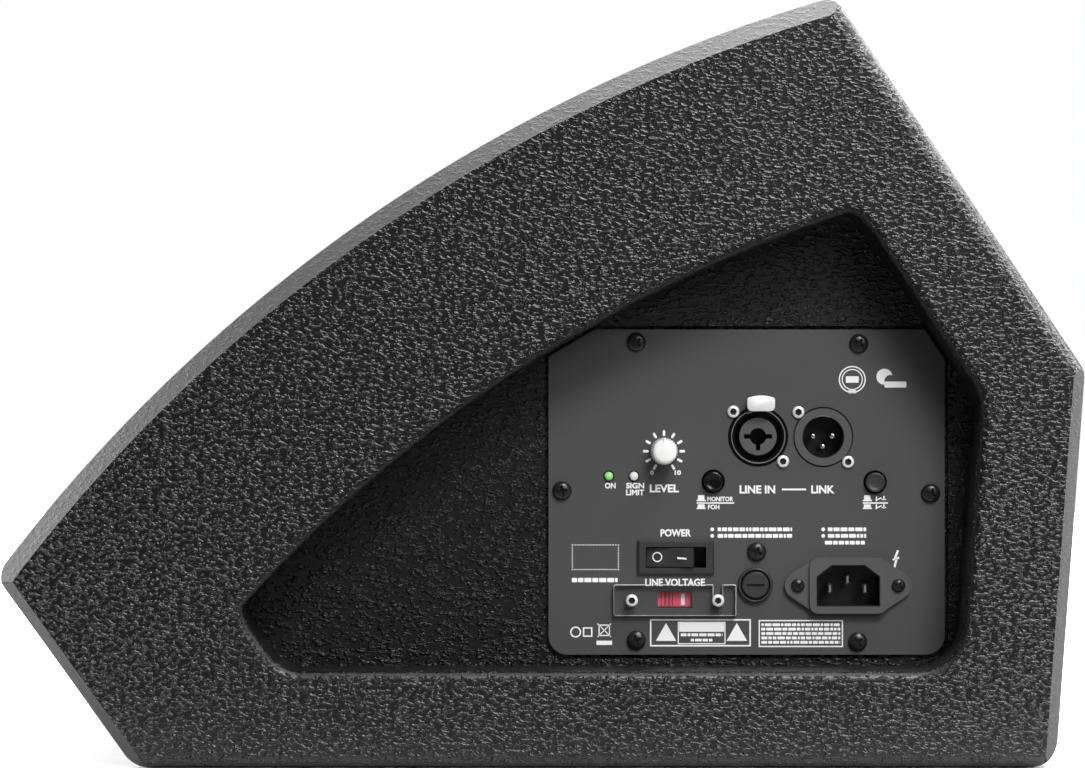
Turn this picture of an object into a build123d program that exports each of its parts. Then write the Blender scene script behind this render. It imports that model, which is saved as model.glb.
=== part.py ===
from build123d import *
import math
import os

# Powered coaxial stage monitor wedge, as separate pieces, in millimetres.
# +X runs from the toe to the heel, +Y runs across the width away from the amplifier side, +Z is up.
# The origin is on the floor, under the middle of the box.

# ---- Cabinet: driving dimensions ----
WIDTH = 360.0
HALF_WIDTH = WIDTH / 2
# Corners of the side outline before they are rounded, as (x, z).
TIP = (-214.0, 75.1)
CREST = (114.4, 301.7)
SHOULDER = (212.26, 155.3)
HEEL = (200.8, 0.0)
TOE = (-159.8, 0.0)
CORNER_RADII = (8.0, 7.0, 9.0, 11.5, 12.0)  # tip, crest, shoulder, heel, toe
FRONT_RADIUS = 625.0  # the bulging front edge of each cheek, from TIP to CREST
CHEEK = 18.0  # plywood thickness of the sides
WALL = 15.0  # plywood thickness of the other panels
RIM_CHAMFER = 5.0
OPEN_FRONT = -40.0  # a front inset that leaves the front uncut

# ---- Side pockets ----
POCKET_INSETS = (83.0, 39.5, 40.0, 37.8, 69.0)  # from the front arc, top, rear, base and toe sides
POCKET_RADII = (13.0, 16.0, 20.0, 18.0, 14.0)
POCKET_DEPTH = 34.0
POCKET_LIP = 4.0  # round-over of the pocket's mouth
FRAME_WIDTH = 18.0  # how far the pocket frame reaches outside the pocket
BOARD = 12.0  # the pocket's floor
FLOOR_Y = -(HALF_WIDTH - POCKET_DEPTH)  # the amplifier side's pocket floor, flush with the panel

# ---- Front ----
BAFFLE_INSET = 12.0  # from the chord of the front arc to the baffle's front face
BAFFLE = 18.0
GRILLE_RADIUS = 621.0
GRILLE_SHEET = 1.2
GRILLE_GAP = 0.8
BATTEN = 16.0
GRILLE_SCREWS_ALONG = (-150.0, 0.0, 150.0)
PORT_BORE = 21.0
PORT_WALL = 2.5
PORT_FLANGE = 28.0
PORT_LENGTH = 62.0
PORT_PLACE = (-147.0, 100.0)  # along the chord, across the width

# ---- Pole cup ----
POLE_BORE = 18.25
POLE_DEPTH = 80.0
POLE_WALL = 2.2
POLE_FLANGE = 72.0
POLE_PLATE = 2.5
POLE_SCREWS = 27.0  # each way from the cup's axis
SHAFT = 3.0
INLET_FLANGE = 2.2
INLET_PINS = ((-7.0, -1.4), (7.0, -1.4), (0.0, 2.3))
PIN_FOOT = -15.0
SOCKET_SCREW = (2.4, 1.8, 1.2)  # head radius and height, shank radius
DRIVER_SCREW = (4.6, 2.8, 2.25, 21.0)
HALF_STEP = 22.5  # degrees, half the pitch of the driver's screws
CABINET_SCREW = (3.9, 2.3, 2.0, 12.0)  # head radius and height, shank radius and length
PILOT = 2.05  # radius of the holes that wood screws bite into
CLEARANCE = 2.3  # radius of the holes that wood screws pass through

# ---- Coaxial driver, along its own axis from the baffle's front face ----
CUTOUT = 117.0
RIM_RADIUS = 130.5
RIM = 5.0
SCREW_CIRCLE = 123.5
SCREW_COUNT = 8
CONE_RIM = 96.8
CONE_NECK = 25.3
CONE_NECK_DEPTH = -48.0
COIL_RADIUS = 25.0
ROLL_RADIUS = 103.0
MAGNET_RADIUS = 67.0
PLATE_RADIUS = 60.0
VENT = 12.5  # bore through the pole for the high-frequency unit
MAGNET_FRONT, MAGNET_BACK = -72.0, -90.0
TOP_PLATE_FRONT, BACK_PLATE_BACK = -64.0, -98.0
HF_RADIUS, HF_BACK = 38.0, -130.0

# ---- Amplifier panel, as (x, z) on the pocket floor ----
PANEL_X = (2.4, 160.2)
PANEL_Z = (42.2, 171.7)
PANEL = 2.0
PANEL_GAP = 1.4
PANEL_CORNER = 7.5
GASKET = 1.0
BAY_X = (14.0, 148.6)  # opening in the mounting board for the amplifier
BAY_Z = (54.0, 160.0)
CHASSIS_DEPTH = 58.0
CHASSIS_SHEET = 1.5
INPUT_BOARD_DEPTH = 22.5
MAIN_BOARD_DEPTH = 50.4
CIRCUIT_BOARD = 1.6
RIM_SCREWS = ((37.4, 166.7), (126.0, 166.1), (7.8, 107.5), (154.6, 106.5), (37.4, 48.0), (125.5, 47.4))
CENTRE_SCREW = (85.3, 83.2)
KNOB = (48.4, 123.2)
KNOB_RADIUS = 5.5
KNOB_HEIGHT = 12.0
LEDS = ((26.4, 113.3), (36.4, 113.3))
VOICING = (68.0, 111.2)
GROUND = (132.5, 110.9)
BUTTON_RADIUS = 3.9
BUTTON_HOLE = 4.7
BUTTON_PROUD = 3.0
COMBO = (85.9, 129.1)
LINK = (111.8, 128.9)
CONNECTOR_NOSE = 11.4
CONNECTOR_BLOCK = (24.4, 29.0)
CONNECTOR_GAP = 0.6  # dark gap round each nose
CONNECTOR_SCREW = 9.9  # each way from a connector's centre
LATCH = (86.9, 142.3)
ROCKER = (53.1, 81.0)
ROCKER_BEZEL = (30.4, 13.5)
ROCKER_OPENING = (24.0, 8.4)
ROCKER_TILT = 13.0  # either side of its middle; the part is stored switched off
ROCKER_ARM = 10.8  # from the pivot to the paddle's face
SELECTOR = (52.8, 64.1)
SELECTOR_WINDOW = (13.8, 6.5)
SLIDER_TRAVEL = 5.0
COVER_PIVOT = (35.5, 63.9)
COVER_LOCK = (69.8, 63.9)
COVER_X = (28.3, 77.1)
COVER_Z = (57.7, 70.2)
COVER = 2.0
FUSE = (84.7, 70.0)
INLET = (121.6, 69.8)
INLET_SCREW = 20.0

# ---- The side outline and what is parallel to it ----


def chord_frame():
    """Middle, direction and outward normal of the chord from TIP to CREST."""
    start, end = Vector(*TIP), Vector(*CREST)
    along = (end - start).normalized()
    return (start + end) / 2, along, Vector(-along.Y, along.X)


CHORD_MIDDLE, CHORD, OUTWARD = chord_frame()
HALF_CHORD = (Vector(*CREST) - Vector(*TIP)).length / 2
CHORD_HEIGHT = math.sqrt(FRONT_RADIUS**2 - HALF_CHORD**2)
FRONT_CENTRE = CHORD_MIDDLE - OUTWARD * CHORD_HEIGHT


def side_line(start, end, inset):
    """A point and direction on one side of the outline, moved inwards."""
    direction = (Vector(*end) - Vector(*start)).normalized()
    inward = Vector(direction.Y, -direction.X)
    return Vector(*start) + inward * inset, direction


def meet(first, second):
    """Where two lines cross."""
    point, direction = first
    other, slope = second
    return point + direction * ((other - point).cross(slope).Z / direction.cross(slope).Z)


def meet_arc(line, radius, way):
    """Where a line crosses the front arc: way is -1 going in and 1 coming out."""
    point, direction = line
    offset = point - FRONT_CENTRE
    along = offset.dot(direction)
    root = math.sqrt(along**2 - offset.dot(offset) + radius**2)
    return point + direction * (way * root - along)


def corners(front, top, rear, base, toe):
    """The outline's corners with each side moved inwards: tip, crest, shoulder, heel and toe."""
    top_line = side_line(CREST, SHOULDER, top)
    rear_line = side_line(SHOULDER, HEEL, rear)
    base_line = side_line(HEEL, TOE, base)
    toe_line = side_line(TOE, TIP, toe)
    tip = meet_arc(toe_line, FRONT_RADIUS - front, 1)
    crest = meet_arc(top_line, FRONT_RADIUS - front, -1)
    return tip, crest, meet(top_line, rear_line), meet(rear_line, base_line), meet(base_line, toe_line)


def outline(insets, radii=()):
    """A face of the outline with each side moved inwards and each corner rounded."""
    tip, crest, shoulder, heel, toe = points = corners(*insets)
    middle = FRONT_CENTRE + OUTWARD * (FRONT_RADIUS - insets[0])
    arc = ThreePointArc(tip, middle, crest)
    face = Face(Wire([arc, *Polyline(crest, shoulder, heel, toe, tip).edges()]))
    for point, radius in zip(points, radii):
        face = face.fillet_2d(radius, [face.vertices().sort_by_distance(point)[0]])
    return Sketch() + face


def slab(face, y_from, y_to):
    """A side-view face given thickness across the width."""
    return Plane.XZ.offset(-y_to) * extrude(face, y_to - y_from, dir=(0, 0, 1))


def grown(insets, distance):
    """Insets that enclose the same shape grown outwards by a distance."""
    return tuple(inset - distance for inset in insets)


def tube(outer, inner, low, high):
    """A ring about the local Z axis, or a rod where inner is 0."""
    ring = Circle(outer) - Circle(inner) if inner else Circle(outer)
    return Pos(0, 0, low) * extrude(ring, high - low)


def block(x_size, y_size, low, high):
    """A box centred on the local Z axis between two heights."""
    return Pos(0, 0, (low + high) / 2) * Box(x_size, y_size, high - low)


def turned(*points):
    """A solid of revolution about the local Z axis from (radius, height) points."""
    profile = Plane.XZ * make_face(Polyline(*points, close=True))
    return revolve(profile, Axis.Z)


def cross_recess(size, depth, top):
    """The cross-shaped recess of a screw, cut down from its top."""
    arm = size / 4
    return block(size, arm, top - depth, top) + block(arm, size, top - depth, top)


def pan_screw(head, height, shank, length):
    """A cross-head pan screw seated on the local XY plane."""
    dome = fillet(tube(head, 0, 0, height).edges().sort_by(Axis.Z)[-1], height * 0.6)
    return dome - cross_recess(head * 1.1, height * 0.6, height) + tube(shank, 0, -length, 0)


def socket_screw(head, height, shank, length, seat=0.0):
    """A hexagon-socket button screw whose head sits on a local height."""
    body = chamfer(tube(head, 0, seat, seat + height).edges().sort_by(Axis.Z)[-1], height * 0.25)
    socket = Pos(0, 0, seat + height * 0.4) * extrude(RegularPolygon(head * 0.55, 6), height)
    return body - socket + tube(shank, 0, seat - length, seat)


def both_sides(shape):
    """A shape and its mirror image on the other side of the box."""
    return shape + mirror(shape, about=Plane.XZ)


# ---- Local frames ----
FACE = Plane(origin=(0, FLOOR_Y, 0), x_dir=(1, 0, 0), z_dir=(0, -1, 0))  # panel: local (x, z, out)
BAFFLE_FACE = CHORD_MIDDLE - OUTWARD * BAFFLE_INSET
DRIVER = Plane(
    origin=(BAFFLE_FACE.X, 0, BAFFLE_FACE.Y),
    x_dir=(CHORD.X, 0, CHORD.Y),
    z_dir=(OUTWARD.X, 0, OUTWARD.Y),
)


def top_frame():
    """Plane on the outside of the top panel, at its middle, local x towards the shoulder."""
    middle = (Vector(*CREST) + Vector(*SHOULDER)) / 2
    along = (Vector(*SHOULDER) - Vector(*CREST)).normalized()
    return Plane(origin=(middle.X, 0, middle.Y), x_dir=(along.X, 0, along.Y), z_dir=(-along.Y, 0, along.X))


TOP_FACE = top_frame()
INSIDE = (OPEN_FRONT, WALL, WALL, WALL, WALL)


def side_cheek():
    """Side panel on the amplifier side, with the pocket's mouth."""
    face = outline((0, 0, 0, 0, 0), CORNER_RADII) - outline(POCKET_INSETS, POCKET_RADII)
    cheek = slab(face, -HALF_WIDTH, CHEEK - HALF_WIDTH).solid()
    rim = cheek.faces().sort_by(Axis.Y)[0].outer_wire().edges()
    cheek = cheek.chamfer(RIM_CHAMFER, None, rim)
    lip = cheek.faces().sort_by(Axis.Y)[0].inner_wires()[0].edges()
    return Part() + cheek.fillet(POCKET_LIP, lip)


def pocket_region():
    """Face that the pocket's frame and floor cover."""
    return outline(grown(POCKET_INSETS, FRAME_WIDTH), [radius + FRAME_WIDTH for radius in POCKET_RADII])


def pocket_frame():
    """Walls of the pocket behind the cheek, on the amplifier side."""
    ring = pocket_region() - outline(POCKET_INSETS, POCKET_RADII)
    return slab(ring, CHEEK - HALF_WIDTH, FLOOR_Y)


def panel_face(grow):
    """Outline of the amplifier panel, clipped where the pocket's corners cut across it."""
    size = (PANEL_X[1] - PANEL_X[0] + 2 * grow, PANEL_Z[1] - PANEL_Z[0] + 2 * grow)
    middle = Pos((PANEL_X[0] + PANEL_X[1]) / 2, (PANEL_Z[0] + PANEL_Z[1]) / 2)
    sheet = middle * RectangleRounded(*size, PANEL_CORNER)
    clip = PANEL_GAP - grow
    return sheet & outline(grown(POCKET_INSETS, -clip), [radius - clip for radius in POCKET_RADII])


def bay_face():
    """Opening in the mounting board that the amplifier passes through."""
    middle = Pos((BAY_X[0] + BAY_X[1]) / 2, (BAY_Z[0] + BAY_Z[1]) / 2)
    return middle * Rectangle(BAY_X[1] - BAY_X[0], BAY_Z[1] - BAY_Z[0])


def mounting_board():
    """Pocket floor with a rebate for the panel, the amplifier's opening and pilot holes."""
    board = slab(pocket_region(), FLOOR_Y, FLOOR_Y + BOARD)
    board -= slab(panel_face(PANEL_GAP), FLOOR_Y, FLOOR_Y + PANEL + GASKET)
    board -= slab(bay_face(), FLOOR_Y, FLOOR_Y + BOARD)
    for place in RIM_SCREWS:
        board -= FACE * Pos(*place) * tube(PILOT, 0, -BOARD, 0)
    return board


def far_board():
    """Blank pocket floor on the far side."""
    return slab(pocket_region(), -FLOOR_Y - BOARD, -FLOOR_Y)


def wall_panels():
    """The bottom, rear, top and toe panels, mitred where they meet."""
    shell = outline((0, 0, 0, 0, 0), CORNER_RADII) - outline(INSIDE)
    outer = corners(OPEN_FRONT, 0, 0, 0, 0)
    inner = corners(*INSIDE)
    names = ("top_panel", "rear_panel", "bottom_panel", "toe_panel")
    order = (1, 2, 3, 4, 0)  # crest, shoulder, heel, toe, tip
    panels = {}
    for name, first, last in zip(names, order, order[1:]):
        far = [inner[i] + (outer[i] - inner[i]) * 3 for i in (first, last)]
        wedge = make_face(Polyline(inner[first], far[0], far[1], inner[last], close=True))
        panels[name] = slab(shell & wedge, CHEEK - HALF_WIDTH, HALF_WIDTH - CHEEK)
    panels["top_panel"] -= TOP_FACE * pole_opening()
    return panels


def pole_opening():
    """Rebate and hole in the top panel for the pole cup, with its pilot holes."""
    opening = block(POLE_FLANGE + 0.6, POLE_FLANGE + 0.6, -POLE_PLATE, 1)
    opening += tube(POLE_BORE + POLE_WALL + 0.3, 0, -WALL - 1, 0)
    for place in GridLocations(2 * POLE_SCREWS, 2 * POLE_SCREWS, 2, 2):
        opening += place * tube(PILOT, 0, -WALL + 1, 0)
    return opening


def pole_cup():
    """Steel cup for a 35 mm stand pole, with its square flange."""
    plate = extrude(RectangleRounded(POLE_FLANGE, POLE_FLANGE, 5), -POLE_PLATE)
    cup = plate + tube(POLE_BORE + POLE_WALL, 0, -POLE_DEPTH - POLE_WALL, 0)
    cup -= tube(POLE_BORE, 0, -POLE_DEPTH, 0)
    for place in GridLocations(2 * POLE_SCREWS, 2 * POLE_SCREWS, 2, 2):
        cup -= place * tube(CLEARANCE, 0, -POLE_PLATE, 0)
    return TOP_FACE * cup


def inside_solid():
    """The space between the cheeks and inside the wall panels."""
    return slab(outline(INSIDE), CHEEK - HALF_WIDTH, HALF_WIDTH - CHEEK)


def baffle():
    """Flat front board with the driver's cut-out, two port holes and pilot holes."""
    board = DRIVER * block(2 * HALF_CHORD, WIDTH, -BAFFLE, 0) & inside_solid()
    holes = tube(CUTOUT, 0, -BAFFLE, 0)
    for place in PolarLocations(SCREW_CIRCLE, SCREW_COUNT, start_angle=HALF_STEP):
        holes += place * tube(CLEARANCE, 0, -BAFFLE, 0)
    for side in (-1, 1):
        holes += Pos(PORT_PLACE[0], side * PORT_PLACE[1]) * tube(PORT_BORE + PORT_WALL + 0.1, 0, -BAFFLE, 0)
    return board - DRIVER * holes


def front_disc(radius):
    """A disc about the front arc's centre, in the side view."""
    return Pos(FRONT_CENTRE.X, FRONT_CENTRE.Y) * Circle(radius)


def grille():
    """Curved sheet-steel grille between the cheeks, drawn without its fine perforation."""
    clear = WALL + GRILLE_GAP
    strip = front_disc(GRILLE_RADIUS) - front_disc(GRILLE_RADIUS - GRILLE_SHEET)
    strip &= outline((OPEN_FRONT, clear, clear, clear, clear))
    edge = HALF_WIDTH - CHEEK - GRILLE_GAP
    sheet = slab(strip, -edge, edge)
    for place in grille_screw_places():
        sheet -= place * tube(CLEARANCE, 0, -5, 5)
    return sheet


def grille_battens():
    """Curved battens on the cheeks that the grille is screwed to."""
    ahead = Pos(BAFFLE_FACE.X, BAFFLE_FACE.Y) * Rot(0, 0, math.degrees(math.atan2(CHORD.Y, CHORD.X)))
    strip = front_disc(GRILLE_RADIUS - GRILLE_SHEET) & outline(INSIDE)
    strip &= ahead * Pos(0, 50) * Rectangle(2 * HALF_CHORD, 100)
    batten = slab(strip, CHEEK - HALF_WIDTH, CHEEK - HALF_WIDTH + BATTEN)
    battens = both_sides(batten)
    for place in grille_screw_places():
        battens -= place * tube(PILOT, 0, -12.5, 0)
    return battens


def grille_screw_places():
    """Frames on the grille's outside, three down each side."""
    places = []
    for along in GRILLE_SCREWS_ALONG:
        normal = CHORD * (along / GRILLE_RADIUS) + OUTWARD * math.sqrt(1 - (along / GRILLE_RADIUS) ** 2)
        point = FRONT_CENTRE + normal * GRILLE_RADIUS
        for side in (-1, 1):
            seat = (point.X, side * (HALF_WIDTH - CHEEK - BATTEN / 2), point.Y)
            places.append(Plane(origin=seat, x_dir=(0, 1, 0), z_dir=(normal.X, 0, normal.Y)))
    return places


def cabinet_screws():
    """Black pan screws that hold the grille and the pole cup."""
    screws = Part()
    for place in grille_screw_places():
        screws += place * pan_screw(*CABINET_SCREW)
    for place in GridLocations(2 * POLE_SCREWS, 2 * POLE_SCREWS, 2, 2):
        screws += TOP_FACE * place * pan_screw(*CABINET_SCREW)
    return screws


def port_tubes():
    """Two bass-reflex tubes with a front flange."""
    ports = Part()
    for side in (-1, 1):
        port = tube(PORT_BORE + PORT_WALL, PORT_BORE, -PORT_LENGTH, 0) + tube(PORT_FLANGE, PORT_BORE, 0, 2)
        ports += DRIVER * Pos(PORT_PLACE[0], side * PORT_PLACE[1]) * port
    return ports


def damping_pad():
    """Polyester wadding fixed to the inside of the rear panel."""
    thickness, gap, height, half_width, down = 13.5, 0.25, 100.0, 125.0, 78.0
    line_point, direction = side_line(SHOULDER, HEEL, WALL + gap + thickness / 2)
    middle = line_point + direction * down
    face = Pos(middle.X, middle.Y) * Rot(0, 0, math.degrees(math.atan2(direction.Y, direction.X)))
    return slab(face * Rectangle(height, thickness), -half_width, half_width)


# ---- Coaxial driver ----


def driver_basket():
    """Cast basket: rim, ribbed bowl with windows, spider ledge and a plate for the motor."""
    mouth, outer_mouth, waist, outer_waist, seat = 109, 115.5, 70, 74, 40
    shoulder, ledge, floor = -18, -56, TOP_PLATE_FRONT
    bowl = turned(
        (mouth, 0), (RIM_RADIUS, 0), (RIM_RADIUS, RIM), (mouth, RIM), (mouth, 2), (mouth, shoulder),
        (waist, ledge + 2), (waist, floor + 3), (seat, floor + 3), (seat, floor), (outer_waist, floor),
        (outer_waist, ledge), (outer_mouth, shoulder - 0.5), (outer_mouth, 0),
    )
    window = Pos(0, 0, (shoulder + ledge) / 2 - 1) * Box(64, 26, 26)
    window_circle = (mouth + waist) / 2 + 4.5
    for place in PolarLocations(window_circle, SCREW_COUNT):
        bowl -= place * window
    for place in PolarLocations(SCREW_CIRCLE, SCREW_COUNT, start_angle=HALF_STEP):
        bowl -= place * tube(DRIVER_SCREW[2] + 0.15, 0, -1, RIM + 1)
    return DRIVER * bowl


def driver_gasket():
    """Foam ring on the basket's rim, cut out round the screw heads."""
    outer, inner, thickness, notch = 130, 117.5, 3.3, 5.2
    ring = tube(outer, inner, RIM, RIM + thickness)
    for place in PolarLocations(SCREW_CIRCLE, SCREW_COUNT, start_angle=HALF_STEP):
        ring -= place * tube(notch, 0, RIM, RIM + thickness + 1)
    return DRIVER * ring


def driver_screws():
    """Eight pan screws through the basket's rim into the baffle."""
    screws = Part()
    for place in PolarLocations(SCREW_CIRCLE, SCREW_COUNT, start_angle=HALF_STEP):
        screws += DRIVER * place * Pos(0, 0, RIM) * pan_screw(*DRIVER_SCREW)
    return screws


def driver_surround():
    """Half-roll surround with its inner and outer glue flanges."""
    base, thick, roll = RIM, 0.8, 6.0
    circles = Circle(roll + thick / 2) - Circle(roll - thick / 2)
    arch = circles & Pos(0, 10) * Rectangle(40, 20)
    profile = Pos(ROLL_RADIUS, base) * arch
    for start, end in ((90, 97.3), (108.7, 117.2)):
        profile += Pos((start + end) / 2, base + thick / 2) * Rectangle(end - start, thick)
    return DRIVER * revolve(Plane.XZ * profile, Axis.Z)


def driver_cone():
    """Paper cone with a flat glue rim and a short neck round the voice coil."""
    top = RIM - 0.3
    return DRIVER * turned(
        (CONE_NECK, CONE_NECK_DEPTH - 4), (CONE_NECK + 1, CONE_NECK_DEPTH - 4),
        (CONE_NECK + 1, CONE_NECK_DEPTH - 1), (90.5, top - 1), (CONE_RIM, top - 1), (CONE_RIM, top),
        (89.8, top), (CONE_NECK, CONE_NECK_DEPTH),
    )


def voice_coil():
    """Thin former with the winding at its lower end."""
    former_wall, winding_depth, low = 0.3, 0.4, -80
    former_radius = COIL_RADIUS + former_wall
    former = tube(former_radius, COIL_RADIUS, low, CONE_NECK_DEPTH - 1)
    winding = tube(former_radius + winding_depth, former_radius, low + 4, low + 20)
    return DRIVER * (former + winding)


def driver_spider():
    """Corrugated cloth disc that centres the coil."""
    waves, inner, outer, level, thick = 7, COIL_RADIUS + 1.0, 70.0, -58.0, 0.6
    step = (outer - 4 - inner - 3) / (2 * waves)
    ridge = [(inner + 3 + step * i, level + (1.4 if i % 2 else 0)) for i in range(2 * waves + 1)]
    upper = [(inner, level), *ridge, (outer - 0.4, level)]
    lower = [(radius, height - thick) for radius, height in reversed(upper)]
    return DRIVER * turned(*upper, *lower)


def motor():
    """The driver's magnet system: top plate, ring magnet and back plate with its hollow pole."""
    pole = tube(COIL_RADIUS - 0.7, VENT, MAGNET_BACK, TOP_PLATE_FRONT + 2)
    return {
        "top_plate": DRIVER * tube(PLATE_RADIUS, COIL_RADIUS + 2.4, MAGNET_FRONT, TOP_PLATE_FRONT),
        "ferrite_magnet": DRIVER * tube(MAGNET_RADIUS, MAGNET_RADIUS / 2, MAGNET_BACK, MAGNET_FRONT),
        "back_plate": DRIVER * (tube(PLATE_RADIUS, VENT, BACK_PLATE_BACK, MAGNET_BACK) + pole),
    }


def hf_horn():
    """Flared mouth of the high-frequency unit, standing on the pole inside the cone."""
    foot, lip, base, mouth = 23, 46, TOP_PLATE_FRONT + 2, -22
    outside = ((foot, base), (foot + 1, -43), (30, -36), (lip, mouth - 2), (lip, mouth))
    inside = ((lip - 2.5, mouth), (27, -37.5), (17, -50))
    return DRIVER * turned((VENT, base), *outside, *inside)


def hf_driver():
    """Compression driver on the back plate."""
    body = tube(HF_RADIUS, 0, HF_BACK, BACK_PLATE_BACK)
    body = fillet(body.edges().sort_by(Axis.Z)[0], 5)
    body -= tube(VENT, 0, BACK_PLATE_BACK - 8, BACK_PLATE_BACK)
    return DRIVER * body


def wiring():
    """Leads from the amplifier to the cone's coil and to the high-frequency unit."""
    lead, bend = 2.0, 16
    routes = (
        ((60, -87, 138), (60, -64, 144), (59, -34, 168), (56, -8, 192)),
        ((60, -87, 96), (52, -72, 94), (38, -56, 90), (25, -39, 86)),
    )
    leads = Part()
    for route in routes:
        path = FilletPolyline(*route, radius=bend)
        start = Plane(origin=path @ 0, z_dir=path % 0)
        leads += sweep(start * Circle(lead), path=path)
    return leads


# ---- Amplifier ----


def panel_holes():
    """Everything cut through the amplifier panel, in its local frame."""
    holes = Part()
    for place in RIM_SCREWS + (CENTRE_SCREW,):
        holes += Pos(*place) * tube(CLEARANCE, 0, -PANEL, 0)
    for place in LEDS:
        holes += Pos(*place) * tube(1.75, 0, -PANEL, 0)
    for place in (VOICING, GROUND):
        holes += Pos(*place) * tube(BUTTON_HOLE, 0, -PANEL, 0)
    for centre in (COMBO, LINK):
        holes += Pos(*centre) * tube(CONNECTOR_NOSE + CONNECTOR_GAP, 0, -PANEL, 0)
        for side in (-1, 1):
            offset = (centre[0] + side * CONNECTOR_SCREW, centre[1] - side * CONNECTOR_SCREW)
            holes += Pos(*offset) * tube(1.5, 0, -PANEL, 0)
    for place in (COVER_PIVOT, COVER_LOCK):
        holes += Pos(*place) * tube(1.3, 0, -PANEL, 0)
    for side in (-1, 1):
        holes += Pos(INLET[0] + side * INLET_SCREW, INLET[1]) * tube(1.8, 0, -PANEL, 0)
    holes += Pos(*KNOB) * tube(3.7, 0, -PANEL, 0)
    holes += Pos(*FUSE) * tube(6.1, 0, -PANEL, 0)
    holes += Pos(*SELECTOR) * block(*SELECTOR_WINDOW, -PANEL, 0)
    holes += Pos(*ROCKER) * block(27.7, 11.7, -PANEL, 0)
    holes += Pos(*INLET) * block(28.0, 20.0, -PANEL, 0)
    holes += Pos(*LATCH) * block(5.0, 3.6, -PANEL, 0)
    return holes


def amp_panel():
    """Sheet-steel amplifier panel."""
    return slab(panel_face(0), FLOOR_Y, FLOOR_Y + PANEL) - FACE * panel_holes()


def panel_gasket():
    """Foam strip between the panel and the mounting board."""
    strip = slab(panel_face(-1) - bay_face(), FLOOR_Y + PANEL, FLOOR_Y + PANEL + GASKET)
    for place in RIM_SCREWS:
        strip -= FACE * Pos(*place) * tube(CLEARANCE, 0, -PANEL - GASKET, -PANEL)
    return strip


def panel_screws():
    """Seven black pan screws."""
    screws = Part()
    for place in RIM_SCREWS:
        screws += FACE * Pos(*place) * pan_screw(3.85, 2.4, 2.0, 11.5)
    return screws + FACE * Pos(*CENTRE_SCREW) * pan_screw(3.85, 2.4, 2.0, 8)


def amp_chassis():
    """Folded aluminium tray behind the panel, with posts for the main board."""
    width, height = BAY_X[1] - BAY_X[0] - 2, BAY_Z[1] - BAY_Z[0] - 2
    tray = block(width, height, -CHASSIS_DEPTH, -PANEL)
    tray -= block(width - 2 * CHASSIS_SHEET, height - 2 * CHASSIS_SHEET, CHASSIS_SHEET - CHASSIS_DEPTH, 0)
    for place in GridLocations(width - 16, height - 16, 2, 2):
        tray += place * tube(3, 0, CHASSIS_SHEET - CHASSIS_DEPTH, -MAIN_BOARD_DEPTH - CIRCUIT_BOARD)
    return FACE * bay_centre() * tray


def bay_centre():
    """Middle of the amplifier's opening on the panel."""
    return Pos((BAY_X[0] + BAY_X[1]) / 2, (BAY_Z[0] + BAY_Z[1]) / 2)


def circuit_boards():
    """The main board on the chassis posts and the input board behind the connectors."""
    main_size, input_size, input_centre = (122, 94), (120, 49), (82, 127.5)
    main = bay_centre() * block(*main_size, -MAIN_BOARD_DEPTH - CIRCUIT_BOARD, -MAIN_BOARD_DEPTH)
    inputs = Pos(*input_centre) * block(*input_size, -INPUT_BOARD_DEPTH - CIRCUIT_BOARD, -INPUT_BOARD_DEPTH)
    return FACE * (main + inputs)


def power_transformer():
    """Switch-mode transformer: a ferrite core round a taped winding."""
    width, height, leg, top, place = 33, 28, 5.5, -29, (46, 128)
    low, high, gap = leg - 0.1 - MAIN_BOARD_DEPTH, top - leg + 0.5, 0.2
    core = block(width, height, -MAIN_BOARD_DEPTH, top) - block(width - 2 * leg, height, low, high)
    winding = block(width - 2 * leg - 0.5, height + 6, low + gap, high - gap)
    return FACE * Pos(*place) * (core + winding)


def capacitors():
    """Reservoir capacitors on the main board."""
    radius, top, pitch, first = 7, -28, 16, (76, 138)
    cans = Part()
    for index in range(4):
        can = tube(radius, 0, -MAIN_BOARD_DEPTH, top)
        place = Pos(first[0] + pitch * index, first[1])
        cans += FACE * place * fillet(can.edges().sort_by(Axis.Z)[-1], 1)
    return cans


def level_pot():
    """Rotary potentiometer on the input board, with its bushing."""
    size, bushing, top = 12, 3.5, -14
    pot = block(size, size, -INPUT_BOARD_DEPTH, top) + tube(bushing, 0, top, -PANEL - 0.5)
    return FACE * Pos(*KNOB) * (pot - tube(SHAFT + 0.06, 0, top - 1, 0))


def level_shaft():
    """Steel shaft of the potentiometer."""
    return FACE * Pos(*KNOB) * tube(SHAFT, 0, -14.7, 9)


def level_knob():
    """Knurled knob pushed onto the shaft, with a pointer groove."""
    low, high = 0.8, 0.8 + KNOB_HEIGHT
    knob = chamfer(tube(KNOB_RADIUS, 0, low, high).edges().sort_by(Axis.Z)[-1], 0.8)
    for place in PolarLocations(KNOB_RADIUS + 0.1, 24):
        knob -= place * tube(0.35, 0, low + 1.5, high)
    knob -= Pos(0, KNOB_RADIUS - 1.4) * block(0.8, 2.8, high - 0.4, high)
    return FACE * Pos(*KNOB) * (knob - tube(SHAFT, 0, low, 9))


def status_leds():
    """Two 3 mm lamps with domed ends and wire legs."""
    radius, collar, proud, low, leg, spread = 1.5, 1.9, 0.2, -4.5, 0.25, 0.6
    lamps = Part()
    for place in LEDS:
        lens = tube(radius, 0, low, proud) + Pos(0, 0, proud) * Sphere(radius)
        lens += tube(collar, 0, low, low + 1)
        legs = Pos(-spread, 0) * tube(leg, 0, -INPUT_BOARD_DEPTH, low)
        legs += Pos(spread, 0) * tube(leg, 0, -INPUT_BOARD_DEPTH, low)
        lamps += FACE * Pos(*place) * (lens + legs)
    return lamps


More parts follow.
